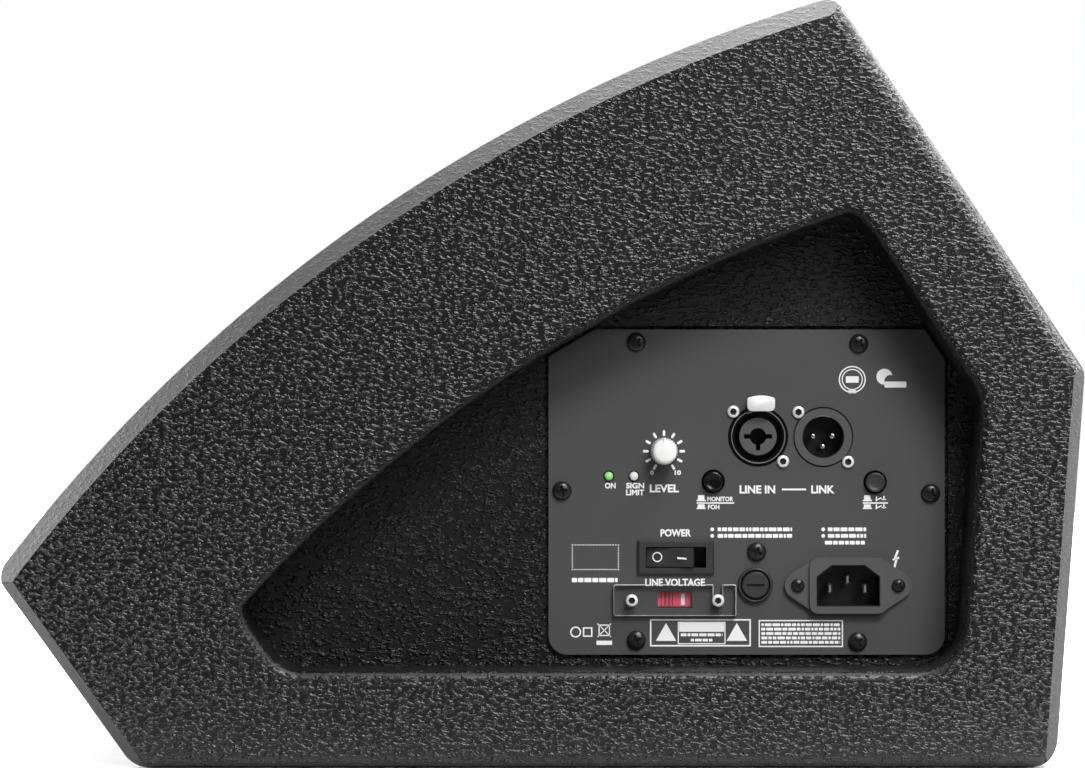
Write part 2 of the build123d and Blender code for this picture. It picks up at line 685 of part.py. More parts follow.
def push_switches():
    """The two latching switches behind the round buttons."""
    size, bore, top = 8.5, 2.1, -11.5
    switches = Part()
    for place in (VOICING, GROUND):
        body = block(size, size, -INPUT_BOARD_DEPTH, top) - tube(bore, 0, top - 7.5, top)
        switches += FACE * Pos(*place) * body
    return switches


def push_button(place):
    """Round cap and its stem."""
    low, stem, stem_end, dish, hollow = -7.0, 1.7, -15, 12, 0.6
    cap = tube(BUTTON_RADIUS, 0, low, BUTTON_PROUD)
    cap = chamfer(cap.edges().sort_by(Axis.Z)[-1], 0.5)
    cap -= Pos(0, 0, BUTTON_PROUD + dish - hollow) * Sphere(dish)
    return FACE * Pos(*place) * (cap + tube(stem, 0, stem_end, low))


def connector_block():
    """Rear housing that both connectors share: a square block behind the panel with two screw holes."""
    housing = block(*CONNECTOR_BLOCK, -INPUT_BOARD_DEPTH, -PANEL - 0.3)
    for side in (-1, 1):
        housing -= Pos(side * CONNECTOR_SCREW, -side * CONNECTOR_SCREW) * tube(1.25, 0, -12, 0)
    return housing


def combo_shell():
    """Shell of the line input: nose ring, rear housing and the latch's slot."""
    shell = connector_block() + tube(CONNECTOR_NOSE, 0, -PANEL - 0.3, 0.8)
    bore, depth, slot = 9.6, -19, (5.2, 4.2, -9)
    shell -= tube(bore, 0, depth, 0.8)
    offset = (LATCH[0] - COMBO[0], LATCH[1] - COMBO[1])
    shell -= Pos(*offset) * block(*slot, -PANEL - 0.3)
    return FACE * Pos(*COMBO) * shell


def combo_insert():
    """Round core of the line input, with the jack's bore and three contact slots."""
    radius, bore, low, high = 7.45, 3.35, -19, -0.6
    core = tube(radius, 0, low, high) - tube(bore, 0, low, high)
    for angle in (0, 180, 270):
        core -= Rot(0, 0, angle) * Pos(4, 0) * block(3.2, 1.8, low + 2, high)
    return FACE * Pos(*COMBO) * core


def combo_latch():
    """Metal tab that is pressed in to free the plug, on its stem."""
    width, height, corner, low, thickness = 11.0, 6.4, 2.2, 2.4, 1.8
    tab = Pos(0, 0, low) * extrude(RectangleRounded(width, height, corner), thickness)
    return FACE * Pos(*LATCH) * (tab + block(4.0, 2.6, -6.0, low))


def xlr_shell():
    """Shell of the link output: flat nose ring round a deep cup."""
    shell = connector_block() + tube(CONNECTOR_NOSE, 0, -PANEL - 0.3, 0.8)
    cup, keyway = 8.35, (5.6, 1.2)
    shell -= tube(cup, 0, PIN_FOOT, 0.8)
    return FACE * Pos(*LINK) * (shell - Pos(0, cup + 0.25) * block(*keyway, -5, -1.5))


def xlr_pins():
    """Three contact pins standing in the cup."""
    pins = Part()
    for x, z in ((-3.9, 0.3), (3.9, 0.3), (0, -3.9)):
        pin = fillet(tube(1.2, 0, PIN_FOOT, -2.5).edges().sort_by(Axis.Z)[-1], 0.8)
        pins += FACE * Pos(LINK[0] + x, LINK[1] + z) * pin
    return pins


def socket_screws():
    """Bright socket screws of the two connectors and of the selector's cover."""
    screws = Part()
    for centre in (COMBO, LINK):
        for side in (-1, 1):
            place = Pos(centre[0] + side * CONNECTOR_SCREW, centre[1] - side * CONNECTOR_SCREW)
            screws += FACE * place * socket_screw(*SOCKET_SCREW, 12)
    for place in (COVER_PIVOT, COVER_LOCK):
        screws += FACE * Pos(*place) * socket_screw(*SOCKET_SCREW, 9, seat=COVER + 0.9)
    return screws


def rocker_housing():
    """Snap-in body of the mains switch, with its bezel and three tabs."""
    frame = chamfer(block(*ROCKER_BEZEL, 0, 2).edges().group_by(Axis.Z)[-1], 0.7)
    body = frame + block(27.4, 11.4, -17, 0)
    body -= block(*ROCKER_OPENING, -15, 2)
    for x in (-9, 0, 9):
        body += Pos(x, 0) * block(0.8, 4.8, -24, -17)
    return FACE * Pos(*ROCKER) * body


def power_rocker():
    """Paddle of the mains switch, tipped to its off side."""
    half, low, arm = 9.5, -2.0, ROCKER_ARM
    points = [(-half, arm), (half, arm), (half - 0.3, arm - 4), (4, low), (-4, low), (0.3 - half, arm - 4)]
    profile = make_face(Polyline(*points, close=True))
    hollow, hollow_depth, half_height = 40, 0.4, 3.8
    profile -= Pos(0, arm + hollow - hollow_depth) * Circle(hollow)
    paddle = Plane.XZ * extrude(profile, half_height, both=True)
    pivot = Pos(ROCKER[0], ROCKER[1], 2 - ROCKER_ARM)
    return FACE * pivot * Rot(0, -ROCKER_TILT, 0) * paddle


def selector_housing():
    """Voltage selector behind its window, a channel with its cover plate open to the front."""
    body = block(27, 12, -14, -PANEL - 0.1) - block(25.2, 6.4, -9, -PANEL - 0.1)
    for x in (-8, 0, 8):
        body += Pos(x, 0) * block(0.8, 3, -18, -14)
    return FACE * Pos(*SELECTOR) * body


def voltage_slider():
    """Red slider with grip ridges at its left end."""
    length = SELECTOR_WINDOW[0] + SLIDER_TRAVEL
    slider = block(length, 5.8, -8.6, -PANEL - 0.9)
    for index in range(4):
        groove = Pos(-2.2 - 1.3 * index, 0) * block(0.6, 5.8, -PANEL - 1.4, -PANEL - 0.9)
        slider -= groove
    return FACE * Pos(SELECTOR[0] + SLIDER_TRAVEL / 2, SELECTOR[1]) * slider


def selector_cover():
    """Clear plate over the selector, pivoted at its left screw and notched for the right one."""
    middle = Pos((COVER_X[0] + COVER_X[1]) / 2, (COVER_Z[0] + COVER_Z[1]) / 2)
    plate = middle * RectangleRounded(COVER_X[1] - COVER_X[0], COVER_Z[1] - COVER_Z[0], 0.8)
    plate -= Pos(*COVER_PIVOT) * Circle(1.26)
    plate -= Pos(*COVER_LOCK) * Circle(1.8)
    plate -= Pos(COVER_LOCK[0], COVER_LOCK[1] + 5) * Rectangle(3.6, 10)
    return FACE * Pos(0, 0, 0.5) * extrude(plate, COVER)


def fuse_holder():
    """Panel fuse holder: flanged mouth, barrel and two tabs."""
    flange, proud, barrel, mouth, bore = 6.95, 1.6, 6.0, 5.65, 3.5
    end, step, tab = -36, -8.5, (4.8, 0.8)
    holder = tube(flange, 0, 0, proud) + tube(barrel, 0, end, 0)
    holder -= tube(mouth, 0, step, proud) + tube(bore, 0, end + 5, step)
    holder += block(*tab, end - 7, end)
    return FACE * Pos(*FUSE) * holder


def fuse_cap():
    """Slotted cap of the fuse carrier."""
    cap = chamfer(tube(5.3, 0, -8, 3.4).edges().sort_by(Axis.Z)[-1], 0.5)
    cap -= block(7.0, 1.0, 2.2, 3.4) + tube(2.66, 0, -8, -2)
    return FACE * Pos(*FUSE) * cap


def fuse():
    """Glass cartridge fuse with its two end caps."""
    glass, inside, end_cap, low, high = 2.3, 1.9, 2.6, -24.5, -7.5
    middle = tube(glass, inside, low, high)
    ends = tube(end_cap, 0, high, high + 5.1) - tube(glass, 0, high, high + 0.5)
    ends += tube(end_cap, 0, low - 5, low)
    return FACE * Pos(*FUSE) * (middle + ends)


def inlet_body():
    """Mains inlet: rhombic flange, raised collar and the keyed cup."""
    ear, height, collar, proud, cup = 5.2, 22.2, 30.8, 3.6, 14
    ears = [Pos(side * INLET_SCREW, 0) * Circle(ear) for side in (-1, 1)]
    flange = make_hull([*ears[0].edges(), *ears[1].edges(), *Rectangle(26, height).edges()])
    body = extrude(flange, INLET_FLANGE) + extrude(RectangleRounded(collar, height, 3.5), proud)
    body += block(27.6, 19.6, -18, 0)
    body -= extrude(inlet_opening(), proud) + Pos(0, 0, -cup) * extrude(inlet_opening(), cup)
    for side in (-1, 1):
        body -= Pos(side * INLET_SCREW, 0) * tube(1.9, 0, 0, INLET_FLANGE)
    for x, z in INLET_PINS:
        body += Pos(x, z) * block(0.8, 4.8, -25, -18)
    return FACE * Pos(*INLET) * body


def inlet_opening():
    """Mouth of the inlet: a rectangle with its two upper corners cut off."""
    half_width, half_height, cut_x, cut_z = 12.65, 8.25, 6.0, 4.6
    points = (
        (-half_width, -half_height), (half_width, -half_height), (half_width, half_height - cut_z),
        (half_width - cut_x, half_height), (cut_x - half_width, half_height),
        (-half_width, half_height - cut_z),
    )
    return make_face(Polyline(*points, close=True))


def inlet_pins():
    """Three flat contacts standing in the cup."""
    pins = Part()
    for x, z in INLET_PINS:
        blade = chamfer(block(2.0, 4.0, -14, -1).edges().group_by(Axis.Z)[-1], 0.6)
        pins += FACE * Pos(INLET[0] + x, INLET[1] + z) * blade
    return pins


def inlet_screws():
    """Two dark cross-head screws through the inlet's flange."""
    screws = Part()
    for side in (-1, 1):
        place = Pos(INLET[0] + side * INLET_SCREW, INLET[1], INLET_FLANGE)
        screws += FACE * place * pan_screw(2.9, 1.6, 1.5, 8)
    return screws


def all_parts():
    """Every piece by the name of its node."""
    parts = {
        "amp_side_cheek": side_cheek(),
        "far_side_cheek": mirror(side_cheek(), about=Plane.XZ),
        "pocket_frames": both_sides(pocket_frame()),
        "amp_mounting_board": mounting_board(),
        "far_pocket_board": far_board(),
        "baffle": baffle(),
        "grille": grille(),
        "grille_battens": grille_battens(),
        "cabinet_screws": cabinet_screws(),
        "port_tubes": port_tubes(),
        "pole_cup": pole_cup(),
        "damping_pad": damping_pad(),
        "driver_basket": driver_basket(),
        "driver_gasket": driver_gasket(),
        "driver_screws": driver_screws(),
        "driver_surround": driver_surround(),
        "driver_spider": driver_spider(),
        "driver_cone": driver_cone(),
        "voice_coil": voice_coil(),
        "hf_horn": hf_horn(),
        "hf_driver": hf_driver(),
        "wiring": wiring(),
        "amp_panel": amp_panel(),
        "panel_gasket": panel_gasket(),
        "panel_screws": panel_screws(),
        "amp_chassis": amp_chassis(),
        "circuit_boards": circuit_boards(),
        "power_transformer": power_transformer(),
        "capacitors": capacitors(),
        "level_pot": level_pot(),
        "level_shaft": level_shaft(),
        "level_knob": level_knob(),
        "status_leds": status_leds(),
        "push_switches": push_switches(),
        "voicing_button": push_button(VOICING),
        "ground_button": push_button(GROUND),
        "combo_shell": combo_shell(),
        "combo_insert": combo_insert(),
        "combo_latch": combo_latch(),
        "xlr_shell": xlr_shell(),
        "xlr_pins": xlr_pins(),
        "socket_screws": socket_screws(),
        "rocker_housing": rocker_housing(),
        "power_rocker": power_rocker(),
        "selector_housing": selector_housing(),
        "voltage_slider": voltage_slider(),
        "selector_cover": selector_cover(),
        "fuse_holder": fuse_holder(),
        "fuse_cap": fuse_cap(),
        "fuse": fuse(),
        "inlet_body": inlet_body(),
        "inlet_pins": inlet_pins(),
        "inlet_screws": inlet_screws(),
    }
    return parts | wall_panels() | motor()


os.makedirs("parts", exist_ok=True)
for node, shape in all_parts().items():
    export_step(shape, f"parts/{node}.step")
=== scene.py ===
import bpy
import bmesh
import math
import random
from mathutils import Matrix, Vector


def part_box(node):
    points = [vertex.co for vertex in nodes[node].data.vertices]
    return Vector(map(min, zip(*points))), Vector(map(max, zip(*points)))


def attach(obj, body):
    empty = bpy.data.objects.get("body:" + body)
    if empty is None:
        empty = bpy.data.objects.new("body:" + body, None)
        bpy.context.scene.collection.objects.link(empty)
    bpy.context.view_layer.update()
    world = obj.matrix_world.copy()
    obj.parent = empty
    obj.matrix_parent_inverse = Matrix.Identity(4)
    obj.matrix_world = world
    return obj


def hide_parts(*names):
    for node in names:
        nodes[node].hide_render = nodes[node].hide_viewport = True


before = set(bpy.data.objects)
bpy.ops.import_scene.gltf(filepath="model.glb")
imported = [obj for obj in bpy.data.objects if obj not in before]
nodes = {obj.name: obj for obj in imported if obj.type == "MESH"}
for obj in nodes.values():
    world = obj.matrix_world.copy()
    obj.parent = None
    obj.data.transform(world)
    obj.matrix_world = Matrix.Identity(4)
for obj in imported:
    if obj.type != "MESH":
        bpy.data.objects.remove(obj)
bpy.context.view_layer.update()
mm = 0.001
bpy.ops.object.select_all(action="DESELECT")
print("frame loaded")

# small tools


def addNode(tree, kind, settings=None, inputs=None):
    node = tree.nodes.new(kind)
    for key, value in (settings or {}).items():
        setattr(node, key, value)
    for key, value in (inputs or {}).items():
        if isinstance(value, bpy.types.NodeSocket):
            tree.links.new(value, node.inputs[key])
        else:
            node.inputs[key].default_value = value
    return node


def hexToLinear(code):
    channels = [int(code[i:i + 2], 16) / 255 for i in (1, 3, 5)]
    return [c / 12.92 if c <= 0.04045 else ((c + 0.055) / 1.055) ** 2.4 for c in channels] + [1.0]


def named(name):
    piece = bpy.context.active_object
    piece.name = piece.data.name = name
    return piece


def only(piece):
    # selects one piece alone and makes it active
    bpy.ops.object.select_all(action="DESELECT")
    piece.select_set(True)
    bpy.context.view_layer.objects.active = piece


def settle(piece):
    # puts the place, turn and size into the mesh
    only(piece)
    bpy.ops.object.transform_apply(location=True, rotation=True, scale=True)
    return piece


def pick(piece, kind, test):
    # enters edit mode with the faces, edges or vertices that pass the test selected
    bpy.context.view_layer.objects.active = piece
    bpy.ops.object.mode_set(mode="EDIT")
    bpy.ops.mesh.select_mode(type=kind)
    bpy.ops.mesh.select_all(action="DESELECT")
    mesh = bmesh.from_edit_mesh(piece.data)
    for item in {"FACE": mesh.faces, "EDGE": mesh.edges, "VERT": mesh.verts}[kind]:
        if test(item):
            item.select_set(True)
    mesh.select_flush_mode()
    bmesh.update_edit_mesh(piece.data)


def leave():
    bpy.ops.object.mode_set(mode="OBJECT")


def bevelEdges(piece, test, width, segments):
    pick(piece, "EDGE", test)
    bpy.ops.mesh.bevel(offset=width, segments=segments, affect="EDGES", profile=0.5)
    leave()


def useModifier(piece, kind, **settings):
    bpy.context.view_layer.objects.active = piece
    modifier = piece.modifiers.new(kind.title(), kind)
    for key, value in settings.items():
        setattr(modifier, key, value)
    bpy.ops.object.modifier_apply(modifier=modifier.name)


def soften(piece, width, segments, degrees=35):
    # rounds every edge sharper than an angle
    useModifier(piece, "BEVEL", width=width * mm, segments=segments, limit_method="ANGLE",
                angle_limit=math.radians(degrees))


def weld(piece, distance=0.02):
    # merges the slivers that cuts leave, and the points closer than a distance in mm
    pick(piece, "FACE", lambda face: True)
    bpy.ops.mesh.remove_doubles(threshold=distance * mm)
    bpy.ops.mesh.dissolve_degenerate(threshold=distance * mm)
    bpy.ops.mesh.select_all(action="SELECT")
    bpy.ops.mesh.normals_make_consistent(inside=False)
    leave()


def combine(piece, other, operation="DIFFERENCE"):
    useModifier(piece, "BOOLEAN", object=other, operation=operation, solver="EXACT")
    bpy.data.objects.remove(other)


def join(pieces, name):
    bpy.ops.object.select_all(action="DESELECT")
    for piece in pieces:
        piece.select_set(True)
    bpy.context.view_layer.objects.active = pieces[0]
    bpy.ops.object.join()
    joined = named(name)
    bpy.ops.object.select_all(action="DESELECT")
    return joined


def smooth(piece, degrees):
    only(piece)
    bpy.ops.object.shade_smooth_by_angle(angle=math.radians(degrees))
    bpy.ops.object.select_all(action="DESELECT")


def painted(piece, material):
    piece.data.materials.clear()
    piece.data.materials.append(material)
    return piece


def dress(piece, body, material, replaced=()):
    # rides, stands for its nodes and takes its finish
    if material:
        painted(piece, material)
    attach(piece, body)
    if replaced:
        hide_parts(*replaced)
    return piece


# materials


def newMaterial(name):
    material = bpy.data.materials.new(name)
    material.use_nodes = True
    tree = material.node_tree
    tree.nodes.clear()
    shader = addNode(tree, "ShaderNodeBsdfPrincipled")
    addNode(tree, "ShaderNodeOutputMaterial", inputs={"Surface": shader.outputs[0]})
    place = addNode(tree, "ShaderNodeTexCoord").outputs["Object"]
    return material, tree, shader, place


def structuralPaint():
    # sprayed structure paint: wavy pebbles 1 to 3 mm long, with a fine orange peel over them
    pebble, peel = 1.75 * mm, 0.55 * mm
    material, tree, shader, place = newMaterial("structurePaintOnPlywood")
    stretch = addNode(tree, "ShaderNodeMapping", inputs={"Vector": place, "Scale": (0.7, 0.7, 1.2)})
    coarse = addNode(tree, "ShaderNodeTexNoise", inputs={
        "Vector": stretch.outputs[0], "Scale": 1 / pebble, "Detail": 2.0, "Roughness": 0.5,
        "Distortion": 0.25})
    fine = addNode(tree, "ShaderNodeTexNoise", inputs={
        "Vector": place, "Scale": 1 / peel, "Detail": 2.0, "Roughness": 0.5})
    raised = addNode(tree, "ShaderNodeMapRange", {"interpolation_type": "SMOOTHSTEP"}, {
        "Value": coarse.outputs["Fac"], "From Min": 0.47, "From Max": 0.68})
    gritty = addNode(tree, "ShaderNodeBump", inputs={
        "Strength": 0.6, "Distance": 0.12 * mm, "Height": fine.outputs["Fac"]})
    edgeCoat = addNode(tree, "ShaderNodeAttribute", {"attribute_name": "edgeCoat"})
    strength = addNode(tree, "ShaderNodeMapRange", inputs={
        "Value": edgeCoat.outputs["Fac"], "To Min": 1.0, "To Max": 0.16})
    bump = addNode(tree, "ShaderNodeBump", inputs={
        "Strength": strength.outputs[0], "Distance": 0.75 * mm, "Height": raised.outputs[0],
        "Normal": gritty.outputs[0]})
    # the pebbles' tops are painted a little lighter than the hollows between them: painted shade in the hollows
    tint = addNode(tree, "ShaderNodeMix", {"data_type": "RGBA"}, {
        "Factor": raised.outputs[0], 6: hexToLinear("#08080a"), 7: hexToLinear("#131314")})
    rough = addNode(tree, "ShaderNodeMapRange", inputs={
        "Value": fine.outputs["Fac"], "To Min": 0.26, "To Max": 0.4})
    # the machined flats of the rim took a thinner, duller coat
    duller = addNode(tree, "ShaderNodeMix", {"data_type": "FLOAT"}, {
        "Factor": edgeCoat.outputs["Fac"], "A": rough.outputs[0], "B": 0.58})
    tree.links.new(tint.outputs[2], shader.inputs["Base Color"])
    tree.links.new(duller.outputs[0], shader.inputs["Roughness"])
    tree.links.new(bump.outputs[0], shader.inputs["Normal"])
    return material


def speckled(name, colour, second, grain, roughness, bumpHeight=0.0, metallic=0.0, stretch=(1, 1, 1)):
    # a finish whose tone and gloss wander a little over a fine grain, stretched where it was brushed
    material, tree, shader, place = newMaterial(name)
    turned = addNode(tree, "ShaderNodeMapping", inputs={"Vector": place, "Scale": stretch})
    grainy = addNode(tree, "ShaderNodeTexNoise", inputs={
        "Vector": turned.outputs[0], "Scale": 1 / grain, "Detail": 3.0, "Roughness": 0.6})
    tint = addNode(tree, "ShaderNodeMix", {"data_type": "RGBA"}, {
        "Factor": grainy.outputs["Fac"], 6: hexToLinear(colour), 7: hexToLinear(second)})
    rough = addNode(tree, "ShaderNodeMapRange", inputs={
        "Value": grainy.outputs["Fac"], "To Min": roughness * 0.85, "To Max": roughness * 1.15})
    tree.links.new(tint.outputs[2], shader.inputs["Base Color"])
    tree.links.new(rough.outputs[0], shader.inputs["Roughness"])
    if bumpHeight:
        bump = addNode(tree, "ShaderNodeBump", inputs={
            "Strength": 0.6, "Distance": bumpHeight, "Height": grainy.outputs["Fac"]})
        tree.links.new(bump.outputs[0], shader.inputs["Normal"])
    shader.inputs["Metallic"].default_value = metallic
    if not metallic:
        shader.inputs["IOR"].default_value = 1.5
    return material


def clearSheet():
    # cast acrylic sheet: clear and glossy, its polish a little uneven
    blotch = 0.8 * mm
    material, tree, shader, place = newMaterial("clearAcrylicSheet")
    haze = addNode(tree, "ShaderNodeTexNoise", inputs={
        "Vector": place, "Scale": 1 / blotch, "Detail": 2.0})
    rough = addNode(tree, "ShaderNodeMapRange", inputs={
        "Value": haze.outputs["Fac"], "To Min": 0.02, "To Max": 0.07})
    tree.links.new(rough.outputs[0], shader.inputs["Roughness"])
    shader.inputs["Base Color"].default_value = hexToLinear("#57575a")
    shader.inputs["IOR"].default_value = 1.49
    shader.inputs["Transmission Weight"].default_value = 0.0
    shader.inputs["Alpha"].default_value = 0.055
    return material


finish = {
    "paint": structuralPaint(),
    # powder coat on rolled steel: fine orange peel, deep black
    "grille": speckled("powderCoatedSteel", "#0e0e0e", "#191919", 0.6 * mm, 0.42, 0.03 * mm),
    # satin powder coat with the sheet's rolling lines showing through, along the panel
    "panel": speckled("satinBlackSheetSteel", "#414142", "#4b4b4c", 0.35 * mm, 0.46, 0.01 * mm,
                      stretch=(0.12, 1, 1)),
    # screen-print ink, a dry warm white
    "ink": speckled("screenPrintInk", "#fdfdfc", "#f4f4f2", 0.2 * mm, 0.6),
    # moulded glass-filled nylon: dull black with a faint spark-eroded grain
    "nylon": speckled("mouldedBlackNylon", "#101010", "#1b1b1b", 0.25 * mm, 0.42, 0.012 * mm),
    "greyNylon": speckled("mouldedGreyNylon", "#4a4a4a", "#575757", 0.25 * mm, 0.45, 0.012 * mm),
    # glossy moulded ABS
    "gloss": speckled("glossyBlackABS", "#090909", "#101010", 1.5 * mm, 0.16),
    # white ABS of the knob, slightly chalky
    "knob": speckled("whiteABS", "#fafaf8", "#ececea", 0.3 * mm, 0.38, 0.01 * mm),
    # red ABS slider, a little faded
    "red": speckled("redABS", "#f7687f", "#ea5970", 0.4 * mm, 0.35, 0.01 * mm),
    # the slider's grip grooves, in shade
    "redShade": speckled("redABSShadow", "#b2394f", "#a03046", 0.4 * mm, 0.5, 0.01 * mm),
    # diffused epoxy lamp lenses
    "greenLamp": speckled("diffusedGreenEpoxy", "#a9f29a", "#8fe07e", 0.3 * mm, 0.2),
    "clearLamp": speckled("diffusedWhiteEpoxy", "#efefe9", "#dedbd2", 0.3 * mm, 0.2),
    "acrylic": clearSheet(),
    # sawn and flamed acrylic edges, which look milky
    "acrylicEdge": speckled("milkyAcrylicEdge", "#d9dadc", "#a8a9ab", 0.5 * mm, 0.35),
    # lighter grey of the line input's nose bead: a painted highlight on its rounded edge
    "lip": speckled("greyNylonPaintedHighlight", "#7d7d7d", "#696969", 0.4 * mm, 0.3),
    # smooth dark nylon of the switch, the fuse holder and one button
    "bezel": speckled("mouldedDarkNylon", "#2e2e2e", "#383838", 0.25 * mm, 0.36, 0.012 * mm),
    # grey-black moulded nylon of the flanges
    "flange": speckled("mouldedCharcoalNylon", "#4a4a4a", "#555555", 0.25 * mm, 0.42, 0.012 * mm),
    # nickel-plated pressed steel, brushed before plating
    "nickel": speckled("nickelPlatedSteel", "#e4e4e2", "#bdbdbb", 0.15 * mm, 0.26, 0.004 * mm, 1.0,
                       (0.2, 1, 1)),
    # tumbled nickel plate on the socket screws and the latch tab
    "brightScrew": speckled("tumbledNickel", "#fbfbf9", "#ececea", 0.3 * mm, 0.5, 0.006 * mm, 0.6),
    # black oxide on steel, thin and slightly oily
    "blackSteel": speckled("blackOxideSteel", "#131313", "#252525", 0.3 * mm, 0.3, 0.008 * mm),
    # silver-plated brass contacts
    "contact": speckled("silverPlatedBrass", "#f1efe9", "#cfcac0", 0.3 * mm, 0.22, 0.0, 1.0),
    "zinc": speckled("zincPlatedSteel", "#b4b8bd", "#8f949b", 0.8 * mm, 0.34, 0.01 * mm, 1.0),
    "ferrite": speckled("sinteredFerrite", "#262628", "#333336", 0.4 * mm, 0.55, 0.02 * mm),
    # die-cast aluminium under thin black paint
    "casting": speckled("paintedDieCasting", "#1a1a1b", "#2a2a2b", 0.7 * mm, 0.45, 0.03 * mm),
    "aluminium": speckled("millFinishAluminium", "#c4c6c8", "#a3a6a9", 0.3 * mm, 0.35, 0.006 * mm, 1.0,
                          (1, 1, 0.1)),
    # felted paper pulp with a doping of black lacquer
    "paper": speckled("lacqueredPaperPulp", "#1a1a1a", "#2b2a29", 1.1 * mm, 0.62, 0.09 * mm),
    "cloth": speckled("dopedCottonCloth", "#171717", "#262524", 0.5 * mm, 0.5, 0.06 * mm),
    "foam": speckled("closedCellFoam", "#1b1b1b", "#292929", 0.7 * mm, 0.85, 0.08 * mm),
    "wadding": speckled("polyesterWadding", "#d5d4cf", "#b6b4ad", 2.5 * mm, 0.9, 0.9 * mm),
    "board": speckled("glassEpoxyBoard", "#1d5a33", "#174a2a", 0.5 * mm, 0.4, 0.01 * mm),
    "tape": speckled("polyesterTape", "#d8b13a", "#c49a27", 1.2 * mm, 0.3),
    "sleeve": speckled("shrinkSleeve", "#14161f", "#1e2230", 1.0 * mm, 0.28),
    "wire": speckled("siliconeSleevedWire", "#7d1517", "#6b1012", 0.9 * mm, 0.5),
    "glass": speckled("fuseGlassTube", "#cdd6d4", "#bcc7c4", 0.9 * mm, 0.1),
    "coil": speckled("enamelledCopper", "#b0622a", "#8f4a1c", 0.3 * mm, 0.3, 0.02 * mm, 1.0),
}
print("materials made")

# cabinet outline, seen from the side: x and z in mm

cabinet = {
    "tip": (-214.0, 75.1), "crest": (114.4, 301.7), "shoulder": (212.26, 155.3),
    "heel": (200.8, 0.0), "toe": (-159.8, 0.0),
    "frontRadius": 625.0, "halfWidth": 180.0, "cheek": 18.0, "wall": 15.0,
    "corners": {"tip": 8.0, "crest": 7.0, "shoulder": 9.0, "heel": 11.5, "toe": 12.0},
    "rim": {"front": 7.0, "top": 7.5, "rear": 4.8, "base": 6.0, "toe": 4.4}, "rounded": ("top", "base"),
    "roundTilts": (18, 36, 54, 72), "flatTilts": (45,), "softEdge": 0.6, "arcSides": 540,
}
pocket = {
    "insets": {"front": 83.0, "top": 39.5, "rear": 40.0, "base": 37.8, "toe": 69.0},
    "corners": {"tip": 13.0, "crest": 16.0, "shoulder": 20.0, "heel": 18.0, "toe": 14.0},
    "depth": 34.0, "lip": 3.9, "frame": 18.0, "board": 12.0,
    # how far the tub stays behind the side face, and how far in from the outline a mouth always is
    "tubStart": 9, "insideFront": 40, "insideSides": 25,
}
sides = {"top": ("crest", "shoulder"), "rear": ("shoulder", "heel"), "base": ("heel", "toe"),
         "toe": ("toe", "tip")}
tip, crest = Vector(cabinet["tip"]), Vector(cabinet["crest"])
chord = (crest - tip).normalized()
outward = Vector((-chord.y, chord.x))
chordMiddle = (tip + crest) / 2
arcCentre = chordMiddle - outward * math.sqrt(cabinet["frontRadius"] ** 2 - ((crest - tip).length / 2) ** 2)


def sidePlane(side, inset):
    # a point on a side of the outline moved inwards, and its outward normal
    start, end = (Vector(cabinet[corner]) for corner in sides[side])
    away = (end - start).normalized()
    normal = Vector((-away.y, away.x))
    return start - normal * inset, normal


def cutBeyond(piece, point, normal):
    # cuts away what lies beyond a plane and closes the cut
    pick(piece, "FACE", lambda face: True)
    bpy.ops.mesh.bisect(plane_co=point, plane_no=normal, use_fill=True, clear_outer=True)
    leave()


def drum(name, radius, yFrom, yTo, location=(0, 0, 0)):
    # a cylinder along Y
    bpy.ops.mesh.primitive_cylinder_add(
        vertices=cabinet["arcSides"], radius=radius * mm, depth=(yTo - yFrom) * mm,
        location=(location[0] * mm, (yFrom + yTo) / 2 * mm, location[2] * mm), rotation=(math.pi / 2, 0, 0))
    return settle(named(name))


def prism(name, insets, corners, yFrom, yTo):
    # a cylinder about the front arc's centre, cut by the four straight sides, with its corners rounded
    piece = drum(name, cabinet["frontRadius"] - insets["front"], yFrom, yTo, (arcCentre.x, 0, arcCentre.y))
    for side in sides:
        point, normal = sidePlane(side, insets[side])
        cutBeyond(piece, (point.x * mm, 0, point.y * mm), (normal.x, 0, normal.y))
    for corner, radius in corners.items():
        roundCorner(piece, Vector(cabinet[corner]) * mm, radius * mm)
    return piece


def sideOn(vertex):
    # where a vertex is when seen from the side
    return Vector((vertex.co.x, vertex.co.z))


def roundCorner(piece, corner, radius):
    # bevels the sharp edge along Y that is nearest to a corner, to a true radius
    def sharp(edge):
        a, b = edge.verts
        along = abs(a.co.x - b.co.x) + abs(a.co.z - b.co.z) < 1e-6
        return along and len(edge.link_faces) == 2 and edge.calc_face_angle() > math.radians(12)
    mesh = bmesh.new()
    mesh.from_mesh(piece.data)
    found = [(sideOn(e.verts[0]), e.calc_face_angle()) for e in mesh.edges if sharp(e)]
    mesh.free()
    nearest, angle = min(found, key=lambda item: (item[0] - corner).length)
    bevelEdges(piece, lambda e: sharp(e) and (sideOn(e.verts[0]) - nearest).length < 1e-5,
               radius * math.tan(angle / 2), 8)


def grown(values, distance, sign):
    return {key: value + sign * distance for key, value in values.items()}


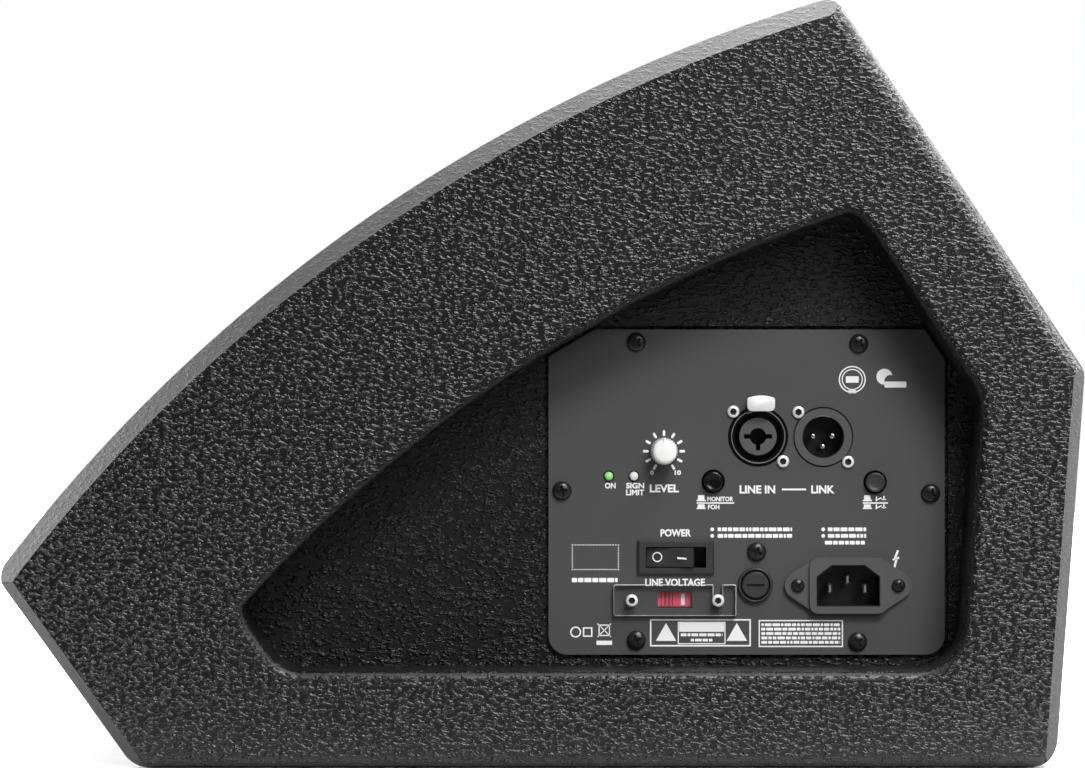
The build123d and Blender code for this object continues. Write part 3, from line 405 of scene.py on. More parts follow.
def eatRim(shell):
    # flat 45 degree chamfers along the front arc, toe and rear; sanded-round edges along the top and base
    half, radius = cabinet["halfWidth"], cabinet["frontRadius"]
    over, beside = 3, 2  # mm by which the cutting lens stands off the arc and off the side faces
    leg = cabinet["rim"]["front"] + over + beside
    lens = drum("lens", radius + over, -half - beside, half + beside, (arcCentre.x, 0, arcCentre.y))
    bevelEdges(lens, lambda e: abs(e.verts[0].co.y - e.verts[1].co.y) < 1e-7, leg * mm, 1)
    combine(shell, lens, "INTERSECT")
    for side in sides:
        point, normal = sidePlane(side, 0)
        width = cabinet["rim"][side]
        rounded = side in cabinet["rounded"]
        reach = width if rounded else width / (2 - math.sqrt(2))
        for tilt in cabinet["roundTilts" if rounded else "flatTilts"]:
            inward, outY = math.cos(math.radians(tilt)), math.sin(math.radians(tilt))
            touch = point - normal * reach * (1 - inward)
            for way in (-1, 1):
                y = way * (half - reach * (1 - outY))
                cutBeyond(shell, (touch.x * mm, y * mm, touch.y * mm),
                          (normal.x * inward, way * outY, normal.y * inward))


def buildShell():
    # the plywood box as one coated skin: outside, rim, pockets and front opening; the amplifier's rebate is cut
    # afterwards
    half, cheek = cabinet["halfWidth"], cabinet["cheek"]
    shell = prism("cabinetShell", {"front": 0, **dict.fromkeys(sides, 0)}, cabinet["corners"], -half, half)
    eatRim(shell)
    weld(shell, 0.05)
    openFront = -60  # the inside runs out past the front arc
    inner = {"front": openFront, **dict.fromkeys(sides, cabinet["wall"])}
    combine(shell, prism("inside", inner, {}, cheek - half, half - cheek))
    weld(shell)
    tub = grown(pocket["insets"], pocket["frame"], -1)
    tubCorners = grown(pocket["corners"], pocket["frame"], 1)
    floorY = half - pocket["depth"]
    for side in (-1, 1):
        deep = sorted((side * (half - pocket["tubStart"]), side * (floorY - pocket["board"])))
        combine(shell, prism("tub", tub, tubCorners, *deep), "UNION")
        clearOfFace = 5
        mouth = sorted((side * (half + clearOfFace), side * floorY))
        combine(shell, prism("mouth", pocket["insets"], pocket["corners"], *mouth))
        weld(shell)
    return shell


shell = buildShell()


def inPocketMouth(edge):
    # an edge of a pocket's mouth, on either side face
    for v in edge.verts:
        if abs(abs(v.co.y) - cabinet["halfWidth"] * mm) > 1e-6:
            return False
    point = (sideOn(edge.verts[0]) + sideOn(edge.verts[1])) / 2 / mm
    inside = cabinet["frontRadius"] - (point - arcCentre).length > pocket["insideFront"]
    for side in sides:
        origin, normal = sidePlane(side, 0)
        inside = inside and (origin - point).dot(normal) > pocket["insideSides"]
    return inside


bevelEdges(shell, inPocketMouth, pocket["lip"] * mm, 5)
print("shell faces", len(shell.data.polygons))

# openings for the amplifier panel and the pole cup

rebateShape = {"gap": 1.4, "corner": 7.5, "overlap": 0.4, "past": 1.0, "clip": (-150, -140)}
bayShape = {"margin": 1.0, "corner": 1.0, "from": -160, "to": -120}
low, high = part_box("amp_panel")
chassisLow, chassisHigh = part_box("amp_chassis")


def roundedBox(name, lowCorner, highCorner, radius, axis="y"):
    # a box between two corners with its four long edges rounded
    size = highCorner - lowCorner
    bpy.ops.mesh.primitive_cube_add(size=1, location=(lowCorner + highCorner) / 2)
    piece = named(name)
    piece.scale = size
    settle(piece)
    index = "xyz".index(axis)
    bevelEdges(piece, lambda e: abs(e.verts[0].co[index] - e.verts[1].co[index]) > size[index] * 0.9, radius, 6)
    return piece


gap = Vector((rebateShape["gap"], 0, rebateShape["gap"])) * mm
rebate = roundedBox("rebate", low - gap, high + gap + Vector((0, rebateShape["past"] * mm, 0)),
                    rebateShape["corner"] * mm)
# the rebate stops just outside the pocket's own outline
combine(rebate, prism("clip", grown(pocket["insets"], rebateShape["overlap"], -1),
                      grown(pocket["corners"], rebateShape["overlap"], 1), *rebateShape["clip"]), "INTERSECT")
for vertex in rebate.data.vertices:
    if vertex.co.y < low.y + 0.5 * mm:
        vertex.co.y -= rebateShape["past"] * mm  # past the floor, so the cut is clean
combine(shell, rebate)
poleCup = {"x": 163.33, "z": 228.5, "turn": 56.25, "flange": 73.2, "depth": 2.5, "corner": 5.0,
           "above": 9, "bore": 20.8, "boreLength": 60}
half = Vector((poleCup["flange"] / 2, poleCup["flange"] / 2, 0)) * mm
flangeSeat = roundedBox("flangeSeat", -half - Vector((0, 0, poleCup["depth"] * mm)),
                        half + Vector((0, 0, poleCup["above"] * mm)), poleCup["corner"] * mm, "z")
bpy.ops.mesh.primitive_cylinder_add(vertices=72, radius=poleCup["bore"] * mm, depth=poleCup["boreLength"] * mm)
for cutter in (flangeSeat, settle(named("cupHole"))):
    cutter.matrix_world = (Matrix.Translation((poleCup["x"] * mm, 0, poleCup["z"] * mm))
                           @ Matrix.Rotation(math.radians(poleCup["turn"]), 4, "Y"))
    combine(shell, settle(cutter))
margin = Vector((bayShape["margin"], 0, bayShape["margin"])) * mm
bay = roundedBox("bay", Vector((chassisLow.x, bayShape["from"] * mm, chassisLow.z)) - margin,
                 Vector((chassisHigh.x, bayShape["to"] * mm, chassisHigh.z)) + margin, bayShape["corner"] * mm)
combine(shell, bay)
weld(shell)
print("openings cut", len(shell.data.polygons))
soften(shell, cabinet["softEdge"], 2, 30)
smooth(shell, 40)
useModifier(shell, "WEIGHTED_NORMAL", keep_sharp=True, weight=80)
# 1 on the flat chamfers, where the coat is smoother
edgeCoat = shell.data.attributes.new("edgeCoat", "FLOAT", "FACE")
chamfer = {"reach": 8, "normal": 0.707, "tolerance": 0.03}
for face in shell.data.polygons:
    near = abs(abs(face.center.y) - cabinet["halfWidth"] * mm) < chamfer["reach"] * mm
    sloping = abs(abs(face.normal.y) - chamfer["normal"]) < chamfer["tolerance"]
    edgeCoat.data[face.index].value = 1.0 if near and sloping else 0.0
dress(shell, "cabinet", finish["paint"],
      ("amp_side_cheek", "far_side_cheek", "pocket_frames", "amp_mounting_board", "far_pocket_board",
       "bottom_panel", "rear_panel", "top_panel", "toe_panel"))
print("cabinet shell done", len(shell.data.polygons))

# shapes on the amplifier panel: x and z in mm, heights in mm out from its face

faceY = -146.0


def spot(x, z, out=0.0):
    return Vector((x, faceY - out, z)) * mm


def bar(name, x, z, width, height, low, high, turn=0, radius=0.0):
    # a block on the panel, centred at x and z, turned in the panel's plane by degrees, its corners rounded
    bpy.ops.mesh.primitive_cube_add(size=1, location=(0, 0, 0))
    piece = named(name)
    piece.scale = (width * mm, (high - low) * mm, height * mm)
    settle(piece)
    if radius:
        bevelEdges(piece, lambda e: abs(e.verts[0].co.y - e.verts[1].co.y) > 1e-6, radius * mm, 5)
    piece.location = spot(x, z, (low + high) / 2)
    piece.rotation_euler = (0, math.radians(turn), 0)
    return settle(piece)


def disc(name, x, z, radius, low, high, sides=36):
    bpy.ops.mesh.primitive_cylinder_add(vertices=sides, radius=radius * mm, depth=(high - low) * mm,
                                        location=spot(x, z, (low + high) / 2), rotation=(math.pi / 2, 0, 0))
    return settle(named(name))


def lathe(name, x, z, profile, ring=False, sides=40):
    # a turned shape from (radius, height) steps; a ring's profile runs back to its start
    radius, out = profile[0]
    bpy.ops.mesh.primitive_circle_add(vertices=sides, radius=radius * mm, fill_type="NOTHING",
                                      location=spot(x, z, out), rotation=(math.pi / 2, 0, 0))
    piece = settle(named(name))
    bpy.ops.object.mode_set(mode="EDIT")
    bpy.ops.mesh.select_mode(type="VERT")
    bpy.ops.mesh.select_all(action="SELECT")
    for nextRadius, nextOut in profile[1:] + (profile[:1] if ring else []):
        bpy.ops.mesh.extrude_region_move(TRANSFORM_OT_translate={"value": (0, (out - nextOut) * mm, 0)})
        share = nextRadius / radius
        bpy.ops.transform.resize(value=(share, 1, share), center_override=spot(x, z, nextOut))
        radius, out = nextRadius, nextOut
    bpy.ops.mesh.select_all(action="SELECT")
    if ring:
        bpy.ops.mesh.remove_doubles(threshold=1e-6)
    else:
        bpy.ops.mesh.fill_holes(sides=0)
    bpy.ops.mesh.select_all(action="SELECT")
    bpy.ops.mesh.normals_make_consistent(inside=False)
    leave()
    return piece


def hoop(inner, outer, low, high):
    # the profile of a ring with a rectangular section
    return [(inner, low), (outer, low), (outer, high), (inner, high)]


def copied(piece, x, z, turn):
    # a copy with its own mesh, moved in the panel's plane and turned about its own middle
    other = piece.copy()
    other.data = piece.data.copy()
    bpy.context.collection.objects.link(other)
    other.matrix_world = Matrix.Translation((x * mm, 0, z * mm)) @ Matrix.Rotation(math.radians(turn), 4, "Y")
    return settle(other)


# screws

panel = {
    "rimScrews": [(37.4, 166.7), (126.0, 166.1), (7.8, 107.5), (154.6, 106.5), (37.4, 48.0), (125.5, 47.4),
                  (85.3, 83.2)],
    "knob": (48.4, 123.2), "lamps": ((26.4, 113.3), (36.4, 113.3)), "voicing": (68.0, 111.2),
    "ground": (132.5, 110.9), "combo": (85.9, 129.1), "link": (111.8, 128.9), "connectorScrew": 9.9,
    "latch": (86.9, 142.3), "rocker": (53.1, 81.0), "selector": (52.8, 64.1), "fuse": (84.7, 70.0),
    "inlet": (121.6, 69.8), "inletScrew": 20.0, "coverPivot": (35.5, 63.9), "coverLock": (69.8, 63.9),
}


def panScrew(name, head, height, recess, shank, length):
    # a domed head with a cross recess, over a plain shank
    screw = lathe(name, 0, 0, [
        (shank, -length), (shank, -0.05), (head * 0.97, -0.05), (head, height * 0.22),
        (head * 0.96, height * 0.45), (head * 0.84, height * 0.72), (head * 0.6, height * 0.92),
        (head * 0.3, height)], sides=32)
    for turn in (20, 110):
        combine(screw, bar("slotCut", 0, 0, recess, recess * 0.24, height * 0.3, height + 1, turn=turn))
    combine(screw, disc("hollowCut", 0, 0, recess * 0.26, height * 0.2, height + 1, 12))
    return screw


def screwSet(master, places, name):
    turns = random.Random(7)
    parts = [copied(master, x, z, turns.uniform(0, 90)) for x, z in places]
    bpy.data.objects.remove(master)
    piece = join(parts, name)
    smooth(piece, 40)
    return piece


rimScrew = {"head": 3.85, "height": 2.4, "recess": 4.2, "shank": 1.6, "length": 9.0}
smallScrew = {"head": 2.7, "height": 1.7, "recess": 3.4, "shank": 1.3, "length": 6.0}
inletFlange, coverFace = 2.2, 2.9  # mm that the inlet's flange and the clear cover stand off the panel
inletX, inletZ = panel["inlet"]
dress(screwSet(panScrew("screw", **rimScrew), panel["rimScrews"], "panelScrews"),
      "cabinet", finish["blackSteel"], ("panel_screws",))
inletPlaces = [(inletX + way * panel["inletScrew"], inletZ) for way in (-1, 1)]
inletScrews = screwSet(panScrew("screw", **smallScrew), inletPlaces, "inletScrews")
inletScrews.location.y = -inletFlange * mm
settle(inletScrews)
dress(inletScrews, "cabinet", finish["blackSteel"], ("inlet_screws",))


socketHead = {
    "profile": [(1.25, -6.0), (1.25, -0.05), (2.25, -0.05), (2.45, 0.35), (2.45, 0.95), (2.25, 1.3),
                (1.85, 1.45)],
    "hexRadius": 1.45, "hexFrom": 0.3, "hexTo": 2.5, "shadeDiscRadius": 1.4, "shadeDiscFrom": 0.2, "shadeDiscTo": 0.5,
}


def socketScrew():
    # a bright button head with a wide rounded rim and a six-sided hollow, with a black disc at its bottom as
    # painted shade
    screw = lathe("screw", 0, 0, socketHead["profile"], sides=28)
    combine(screw, disc("hexCut", 0, 0, socketHead["hexRadius"], socketHead["hexFrom"], socketHead["hexTo"], 6))
    hollow = disc("hollow", 0, 0, socketHead["shadeDiscRadius"], socketHead["shadeDiscFrom"], socketHead["shadeDiscTo"], 12)
    return join([painted(screw, finish["brightScrew"]), painted(hollow, finish["blackSteel"])], "screw")


shift = panel["connectorScrew"]
socketPlaces = []
for x, z in (panel["combo"], panel["link"]):
    socketPlaces += [(x - shift, z + shift), (x + shift, z - shift)]
socketScrews = screwSet(socketScrew(), socketPlaces, "socketScrews")
coverScrews = screwSet(socketScrew(), [panel["coverPivot"], panel["coverLock"]], "coverScrews")
coverScrews.location.y = -coverFace * mm
settle(coverScrews)
dress(join([socketScrews, coverScrews], "socketScrews"), "cabinet", None, ("socket_screws",))
print("screws done")

# level knob and lamps

knobShape = {
    "profile": [(5.55, 0.8), (5.6, 1.4), (5.5, 3.0), (5.2, 9.6), (5.05, 11.0), (4.6, 11.9), (3.8, 12.5),
                (2.0, 12.75)],
    "flutes": 32, "fluteTop": 11.5, "fluteShare": 0.93,
    "pointer": {"width": 0.9, "height": 4.2, "low": 11.2, "high": 12.8, "radius": 0.3}, "pointerOffset": 3.4,
}
knobX, knobZ = panel["knob"]
knob = lathe("levelKnob", knobX, knobZ, knobShape["profile"], sides=2 * knobShape["flutes"])


def inFlute(vertex):
    # every second line of points around the knob, below its rounded top
    angle = math.atan2(vertex.co.z - knobZ * mm, vertex.co.x - knobX * mm)
    return (round(angle / (math.pi / knobShape["flutes"])) % 2 == 0
            and -faceY * mm + vertex.co.y > -knobShape["fluteTop"] * mm)


pick(knob, "VERT", inFlute)
bpy.ops.transform.resize(value=(knobShape["fluteShare"], 1, knobShape["fluteShare"]),
                         center_override=spot(knobX, knobZ))
leave()
pointer = bar("pointer", knobX, knobZ + knobShape["pointerOffset"], **knobShape["pointer"])
painted(knob, finish["knob"])
painted(pointer, finish["ink"])
smooth(knob, 25)
levelKnob = join([knob, pointer], "levelKnob")
dress(levelKnob, "level_control", None, ("level_knob",))

lampShape = {
    "lens": [(1.75, -4.0), (1.75, 0.5), (1.6, 0.95), (1.2, 1.3), (0.5, 1.5)],
    "collar": hoop(1.85, 2.2, -0.5, 0.12),
}
lamps = []
for (x, z), key in zip(panel["lamps"], ("greenLamp", "clearLamp")):
    lamp = lathe("lamp", x, z, lampShape["lens"], sides=28)
    smooth(lamp, 50)
    lamps.append(painted(lamp, finish[key]))
    # a glossy black ring round each lamp lens stands in for the shade in the gap around it: painted shade
    collar = lathe("collar", x, z, lampShape["collar"], ring=True, sides=28)
    lamps.append(painted(collar, finish["gloss"]))
dress(join(lamps, "statusLamps"), "cabinet", None, ("status_leds",))

# push buttons

capRadius = 3.9
capTop = [(capRadius, 2.3), (3.78, 2.68), (3.5, 2.9), (3.2, 2.96), (2.9, 2.8), (1.5, 2.7)]
for key, look in (("voicing", "gloss"), ("ground", "bezel")):
    x, z = panel[key]
    node = key + "_button"
    low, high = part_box(node)
    base = faceY - high.y / mm
    cap = lathe(key + "Button", x, z, [(capRadius, base)] + capTop, sides=48)
    smooth(cap, 50)
    dress(cap, key + "_push", finish[look], (node,))

# connectors

latchShape = {
    "tab": {"width": 11.0, "height": 6.2, "low": 2.4, "high": 4.2, "radius": 1.9},
    "arch": {"radius": 15.1, "low": 2.0, "high": 4.6, "sides": 96}, "archDrop": 12.0, "softEdge": 0.5,
}
comboX, comboZ = panel["combo"]
linkX, linkZ = panel["link"]
latchX, latchZ = panel["latch"]
tab = bar("latchTab", latchX, latchZ, **latchShape["tab"])
combine(tab, disc("arch", latchX, latchZ - latchShape["archDrop"], **latchShape["arch"]), "INTERSECT")
soften(tab, latchShape["softEdge"], 3)
smooth(tab, 40)
dress(tab, "latch_tab", finish["brightScrew"], ("combo_latch",))

# dark sleeves make the two deep mouths black inside their grey shells: painted shade in the mouths
mouthShape = {
    "shadeSleeve": hoop(8.12, 8.3, -14.7, 0.2),
    "floor": {"radius": 8.3, "low": -14.95, "high": -14.7, "sides": 48},
    "glint": hoop(8.2, 8.6, 0.3, 1.0),
    "keep": {"width": 5.4, "height": 2.4, "low": -1, "high": 2}, "keepRise": 8.4,
    "bead": [(10.4, 0.7), (10.8, 0.7), (10.78, 0.95), (10.6, 1.05), (10.42, 0.95)], "sides": 72,
}
clipShape = {"height": 0.75, "low": 0.5, "high": 0.9, "radius": 0.15}
shadeSleeve = lathe("linkMouthShade", linkX, linkZ, mouthShape["shadeSleeve"], ring=True, sides=mouthShape["sides"])
shadeSleeveFloor = disc("shadeSleeveFloor", linkX, linkZ, **mouthShape["floor"])
smooth(shadeSleeve, 40)
dress(join([shadeSleeve, shadeSleeveFloor], "linkMouthShade"), "cabinet", finish["nylon"])
# a short bright nickel arc at the top of the link's mouth, a painted highlight, and two small spring clips
# under the latch tab
glint = lathe("linkLipGlint", linkX, linkZ, mouthShape["glint"], ring=True, sides=mouthShape["sides"])
combine(glint, bar("keep", linkX, linkZ + mouthShape["keepRise"], **mouthShape["keep"]), "INTERSECT")
clips = [bar("clip", comboX - 2.9, comboZ + 9.85, width=3.3, turn=-22, **clipShape),
         bar("clip", comboX + 4.3, comboZ + 9.75, width=2.8, turn=26, **clipShape)]
dress(join([glint] + clips, "latchClipsAndLipGlint"), "cabinet", finish["nickel"])
# the bead's lighter grey is a painted highlight on the nose's rounded edge
bead = lathe("comboLip", comboX, comboZ, mouthShape["bead"], ring=True, sides=mouthShape["sides"])
smooth(bead, 60)
dress(bead, "cabinet", finish["lip"])

opening = {"halfWidth": 12.5, "halfHeight": 8.1, "cutX": 6.0, "cutZ": 4.6, "wall": 0.15,
           "back": -13.9, "front": 3.3, "floor": -13.6, "past": 4.5}


def keyedBlock(name, low, high, shrink):
    # the inlet's mouth as a solid: a rectangle with its two upper corners cut off
    width, height = opening["halfWidth"] - shrink, opening["halfHeight"] - shrink
    piece = bar(name, inletX, inletZ, 2 * width, 2 * height, low, high)
    for way in (-1, 1):
        normal = Vector((way * opening["cutZ"], 0, opening["cutX"])).normalized()
        cutBeyond(piece, spot(inletX + way * (width - opening["cutX"]), inletZ + height), normal)
    return piece


# a thin dark sleeve inside the inlet's mouth: painted shade
inletMouthShade = keyedBlock("inletMouthShade", opening["back"], opening["front"], 0)
combine(inletMouthShade, keyedBlock("hollow", opening["floor"], opening["past"], opening["wall"]))
dress(inletMouthShade, "cabinet", finish["nylon"])

# mains switch marks, fuse bead, selector cover

rocker = {"tilt": 13.0, "arm": 10.8, "pivotDepth": 8.8, "sunk": 0.3, "proud": 0.1,
          "ring": (1.55, 2.0), "bar": (3.8, 0.7), "barTurn": 4}
rockerX, rockerZ = panel["rocker"]
markLow, markHigh = rocker["arm"] - rocker["sunk"], rocker["arm"] + rocker["proud"]
marks = join([
    lathe("offMark", -5.1, 0.1, hoop(*rocker["ring"], markLow, markHigh), ring=True, sides=36),
    bar("onMark", 4.9, -0.35, *rocker["bar"], markLow, markHigh, rocker["barTurn"])], "rockerMarks")
marks.matrix_world = (Matrix.Translation(spot(rockerX, rockerZ, -rocker["pivotDepth"]))
                      @ Matrix.Rotation(math.radians(-rocker["tilt"]), 4, "Z")
                      @ Matrix.Translation((0, -faceY * mm, 0)))
settle(marks)
dress(marks, "mains_rocker", finish["ink"])

fuseRim = [(5.75, 1.5), (6.85, 1.5), (6.75, 1.95), (6.45, 2.15), (6.1, 2.0), (5.8, 1.7)]
fuseX, fuseZ = panel["fuse"]
fuseBead = lathe("fuseBead", fuseX, fuseZ, fuseRim, ring=True, sides=64)
smooth(fuseBead, 60)
dress(fuseBead, "cabinet", finish["bezel"])

coverShape = {"corner": 0.8, "pivotHole": 1.3, "lockHole": 1.8, "low": -1, "high": 5, "notchHeight": 10,
              "softEdge": 0.25}
through = {"low": coverShape["low"], "high": coverShape["high"]}
low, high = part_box("selector_cover")
plate = roundedBox("selectorCover", low, high, coverShape["corner"] * mm)
for place, hole in (("coverPivot", "pivotHole"), ("coverLock", "lockHole")):
    combine(plate, disc("hole", *panel[place], coverShape[hole], **through))
lockX, lockZ = panel["coverLock"]
combine(plate, bar("notch", lockX, lockZ + coverShape["notchHeight"] / 2, 2 * coverShape["lockHole"],
                   coverShape["notchHeight"], **through))
soften(plate, coverShape["softEdge"], 1)
plate.data.materials.append(finish["acrylic"])
plate.data.materials.append(finish["acrylicEdge"])
for face in plate.data.polygons:
    face.material_index = 0 if abs(face.normal.y) > 0.9 else 1
dress(plate, "cover_swing", None, ("selector_cover",))

sliderShape = {
    "mark": {"width": 1.5, "height": 4.6, "low": -2.95, "high": -2.86}, "markShift": 3.2,
    "groove": {"width": 0.5, "height": 5.4, "low": -2.95, "high": -2.87}, "grooveShift": -5.4,
    "groovePitch": 1.5,
}
selectorX, selectorZ = panel["selector"]
sliderMark = bar("sliderMark", selectorX + sliderShape["markShift"], selectorZ, **sliderShape["mark"])
dress(sliderMark, "voltage_select", finish["ink"])
firstGroove = selectorX + sliderShape["grooveShift"]
grooves = [bar("groove", firstGroove + sliderShape["groovePitch"] * index, selectorZ, **sliderShape["groove"])
           for index in range(4)]
dress(join(grooves, "sliderGrooves"), "voltage_select", finish["redShade"])
print("switches done")

# screen print

ink = {"low": -0.01, "high": 0.05, "weight": 0.034}
prints = []


def word(text, x, z, height, width):
    # a printed word centred at x and z, its capitals of the given height
    bpy.ops.object.text_add(location=(0, 0, 0))
    curve = bpy.context.active_object
    curve.data.body = text
    curve.data.align_x, curve.data.align_y = "CENTER", "CENTER"
    curve.data.size = 1.0
    curve.data.resolution_u = 3
    curve.data.offset = ink["weight"]
    curve.data.extrude = 0.02
    bpy.ops.object.convert(target="MESH")
    piece = named("word")
    xs = [v.co.x for v in piece.data.vertices]
    ys = [v.co.y for v in piece.data.vertices]
    tall, wide = max(ys) - min(ys), max(xs) - min(xs)
    centre = Vector(((max(xs) + min(xs)) / 2, (max(ys) + min(ys)) / 2, 0))
    scale = height / tall
    across = width / wide
    piece.data.transform(Matrix.Translation(-centre))
    piece.scale = (across * mm, scale * mm, mm)
    piece.rotation_euler = (math.pi / 2, 0, 0)
    piece.location = spot(x, z, ink["high"] / 2)
    prints.append(settle(piece))


def inkBar(x, z, width, height, turn=0, radius=0.0):
    prints.append(bar("inkBar", x, z, width, height, ink["low"], ink["high"], turn, radius))


def inkFrame(x, z, width, height, line):
    for side in (-1, 1):
        inkBar(x, z + side * (height - line) / 2, width, line)
        inkBar(x + side * (width - line) / 2, z, line, height - 2 * line)


def inkRing(x, z, radius, line):
    prints.append(lathe("inkRing", x, z, hoop(radius - line, radius, ink["low"], ink["high"]), ring=True))


def inkTriangle(x, z, side):
    # an equilateral triangle standing on its base, centred a little low
    prints.append(disc("inkTriangle", x, z - side * 0.08, side / math.sqrt(3), ink["low"], ink["high"], 3))


tick = {"radius": 7.25, "width": 1.0, "length": 2.3, "corner": 0.45, "count": 11, "first": -150, "step": 30}
for index in range(tick["count"]):
    turn = tick["first"] + tick["step"] * index
    angle = math.radians(turn)
    inkBar(knobX + tick["radius"] * math.sin(angle), knobZ + tick["radius"] * math.cos(angle), tick["width"],
           tick["length"], turn, tick["corner"])
for text, x, z, height, width in (
        ("0", 43.6, 114.7, 1.9, 1.4), ("10", 53.9, 114.7, 1.9, 2.5), ("LEVEL", 48.5, 108.4, 3.2, 11.6),
        ("ON", 27.0, 109.5, 2.3, 4.3), ("SIGN", 36.9, 109.5, 2.3, 7.2), ("LIMIT", 36.9, 106.8, 2.3, 7.2),
        ("MONITOR", 70.8, 104.2, 1.9, 10.4), ("FOH", 68.2, 101.0, 1.9, 4.6),
        ("LINE IN", 85.6, 108.0, 3.2, 14.2), ("LINK", 111.7, 108.0, 3.2, 9.3),
        ("POWER", 53.1, 90.7, 3.0, 12.2), ("LINE VOLTAGE", 52.8, 71.0, 3.0, 23.8)):
    word(text, x, z, height, width)
inkBar(100.2, 108.0, 9.6, 0.7)
# out and in signs beside the two buttons
for x, line in ((63.2, 15.0), (129.4, 10.0)):
    inkBar(x, 104.8, 2.6, 1.8, radius=0.3)
    inkBar(x, 103.6, 3.6, 0.6)
    inkBar(x, 101.4, 2.8, 1.3, radius=0.3)
    inkBar(x, 100.5, 3.6, 0.6)
    inkBar(x + line / 2 - 1.8, 102.6, line, 0.55)
for z in (104.3, 101.1):
    inkBar(133.0, z, 0.5, 2.0)
    inkBar(134.2, z, 1.9, 0.45, -25)
    inkBar(136.0, z + 0.2, 0.5, 1.8)
    inkBar(136.0, z - 0.3, 1.8, 0.45)
# ratings as plain lines of dashes
dashes = random.Random(3)


def dashLine(x, z, width, height):
    # a line of text shown as separate blocks
    at, end = x - width / 2, x + width / 2
    while at < end - 0.6:
        step = min(dashes.uniform(1.2, 3.4), end - at)
        inkBar(at + step / 2, z, step - 0.35, height, radius=min(0.25, height / 4))
        at += step


for x, z, width in ((84.6, 92.1, 30.0), (84.6, 89.5, 30.0), (121.3, 92.1, 15.6), (121.3, 89.5, 15.6),
                    (120.6, 86.8, 16.6)):
    dashLine(x, z, width, 1.5)
for x, z in ((67.6, 92.1), (67.6, 89.5), (111.8, 92.1), (111.8, 89.5)):
    prints.append(disc("inkDot", x, z, 0.75, ink["low"], ink["high"], 16))
dashLine(20.8, 71.9, 18.6, 1.7)
# dotted frame for a serial number
for index in range(18):
    for z in (76.1, 85.9):
        inkBar(11.9 + index * 1.08, z, 0.5, 0.42)
for index in range(8):
    for x in (11.9, 30.26):
        inkBar(x, 77.2 + index * 1.08, 0.42, 0.5)
# plain stand-ins for the marks and labels along the bottom and top right
inkRing(13.2, 51.2, 2.2, 0.55)
inkFrame(18.0, 51.2, 3.8, 3.8, 0.55)
inkFrame(24.6, 51.9, 4.6, 4.6, 0.45)
inkBar(24.6, 51.9, 7.6, 0.4, 45)
inkBar(24.6, 51.9, 7.6, 0.4, -45)
inkBar(24.6, 46.9, 6.2, 1.7)
inkFrame(62.9, 50.9, 40.2, 10.9, 0.6)
for x in (49.2, 77.4):
    inkTriangle(x, 50.7, 8.2)
inkBar(63.4, 53.1, 18.0, 3.6)
inkFrame(63.4, 50.8, 19.0, 8.9, 0.4)
dashLine(63.4, 50.1, 17.0, 1.2)
dashLine(63.4, 48.0, 9.0, 1.1)
inkFrame(102.9, 50.6, 33.6, 10.8, 0.5)
for z in (54.1, 52.35, 50.6, 48.85, 47.1):
    dashLine(102.9, z, 31.8, 1.15)
inkRing(123.4, 151.8, 5.4, 0.5)
inkRing(123.4, 151.8, 4.2, 0.4)
inkBar(123.4, 151.8, 5.2, 2.6, radius=0.4)
inkBar(123.4, 146.9, 3.2, 1.2, radius=0.3)
leaf = disc("leaf", 136.2, 152.9, 3.2, ink["low"], ink["high"], 32)
combine(leaf, disc("leafCut", 138.6, 151.2, 2.4, -1, 1, 32))
prints.append(leaf)
inkBar(140.6, 149.8, 8.8, 2.4, radius=0.5)
# the lightning stroke above the inlet
inkBar(141.0, 82.2, 0.9, 3.4, 22, 0.2)
inkBar(140.8, 80.4, 2.8, 0.8, -18, 0.2)
inkBar(140.6, 78.6, 0.9, 3.6, 14, 0.2)
dress(join(prints, "panelPrint"), "cabinet", finish["ink"])

# perforated front grille

perforation = {"radius": 621.0, "sheet": 1.2, "halfWidth": 160.8, "pitch": 8.0, "holeRadius": 2.75,
               "holeSides": 8, "blank": 4, "punch": 12}
low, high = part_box("grille")
columns = int(2 * perforation["halfWidth"] / perforation["pitch"])
pitch = 2 * perforation["halfWidth"] / columns
startAngle, endAngle = (math.asin((x / mm - arcCentre.x) / perforation["radius"]) for x in (low.x, high.x))
rows = round((endAngle - startAngle) * perforation["radius"] / (pitch * math.sqrt(3)))
step = (endAngle - startAngle) / rows
rowLength = step * perforation["radius"]
top = perforation["radius"]
bpy.ops.mesh.primitive_cube_add(size=1, location=(0, 0, top * mm))
grille = named("frontGrille")
grille.scale = (rowLength * mm, pitch * mm, perforation["blank"] * mm)
settle(grille)
for x, y in ((0, 0), (1, 1), (1, -1), (-1, 1), (-1, -1)):
    bpy.ops.mesh.primitive_cylinder_add(
        vertices=perforation["holeSides"], radius=perforation["holeRadius"] * mm,
        depth=perforation["punch"] * mm,
        location=(x * rowLength / 2 * mm, y * pitch / 2 * mm, top * mm),
        rotation=(0, 0, math.pi / perforation["holeSides"]))
    combine(grille, settle(named("punch")))
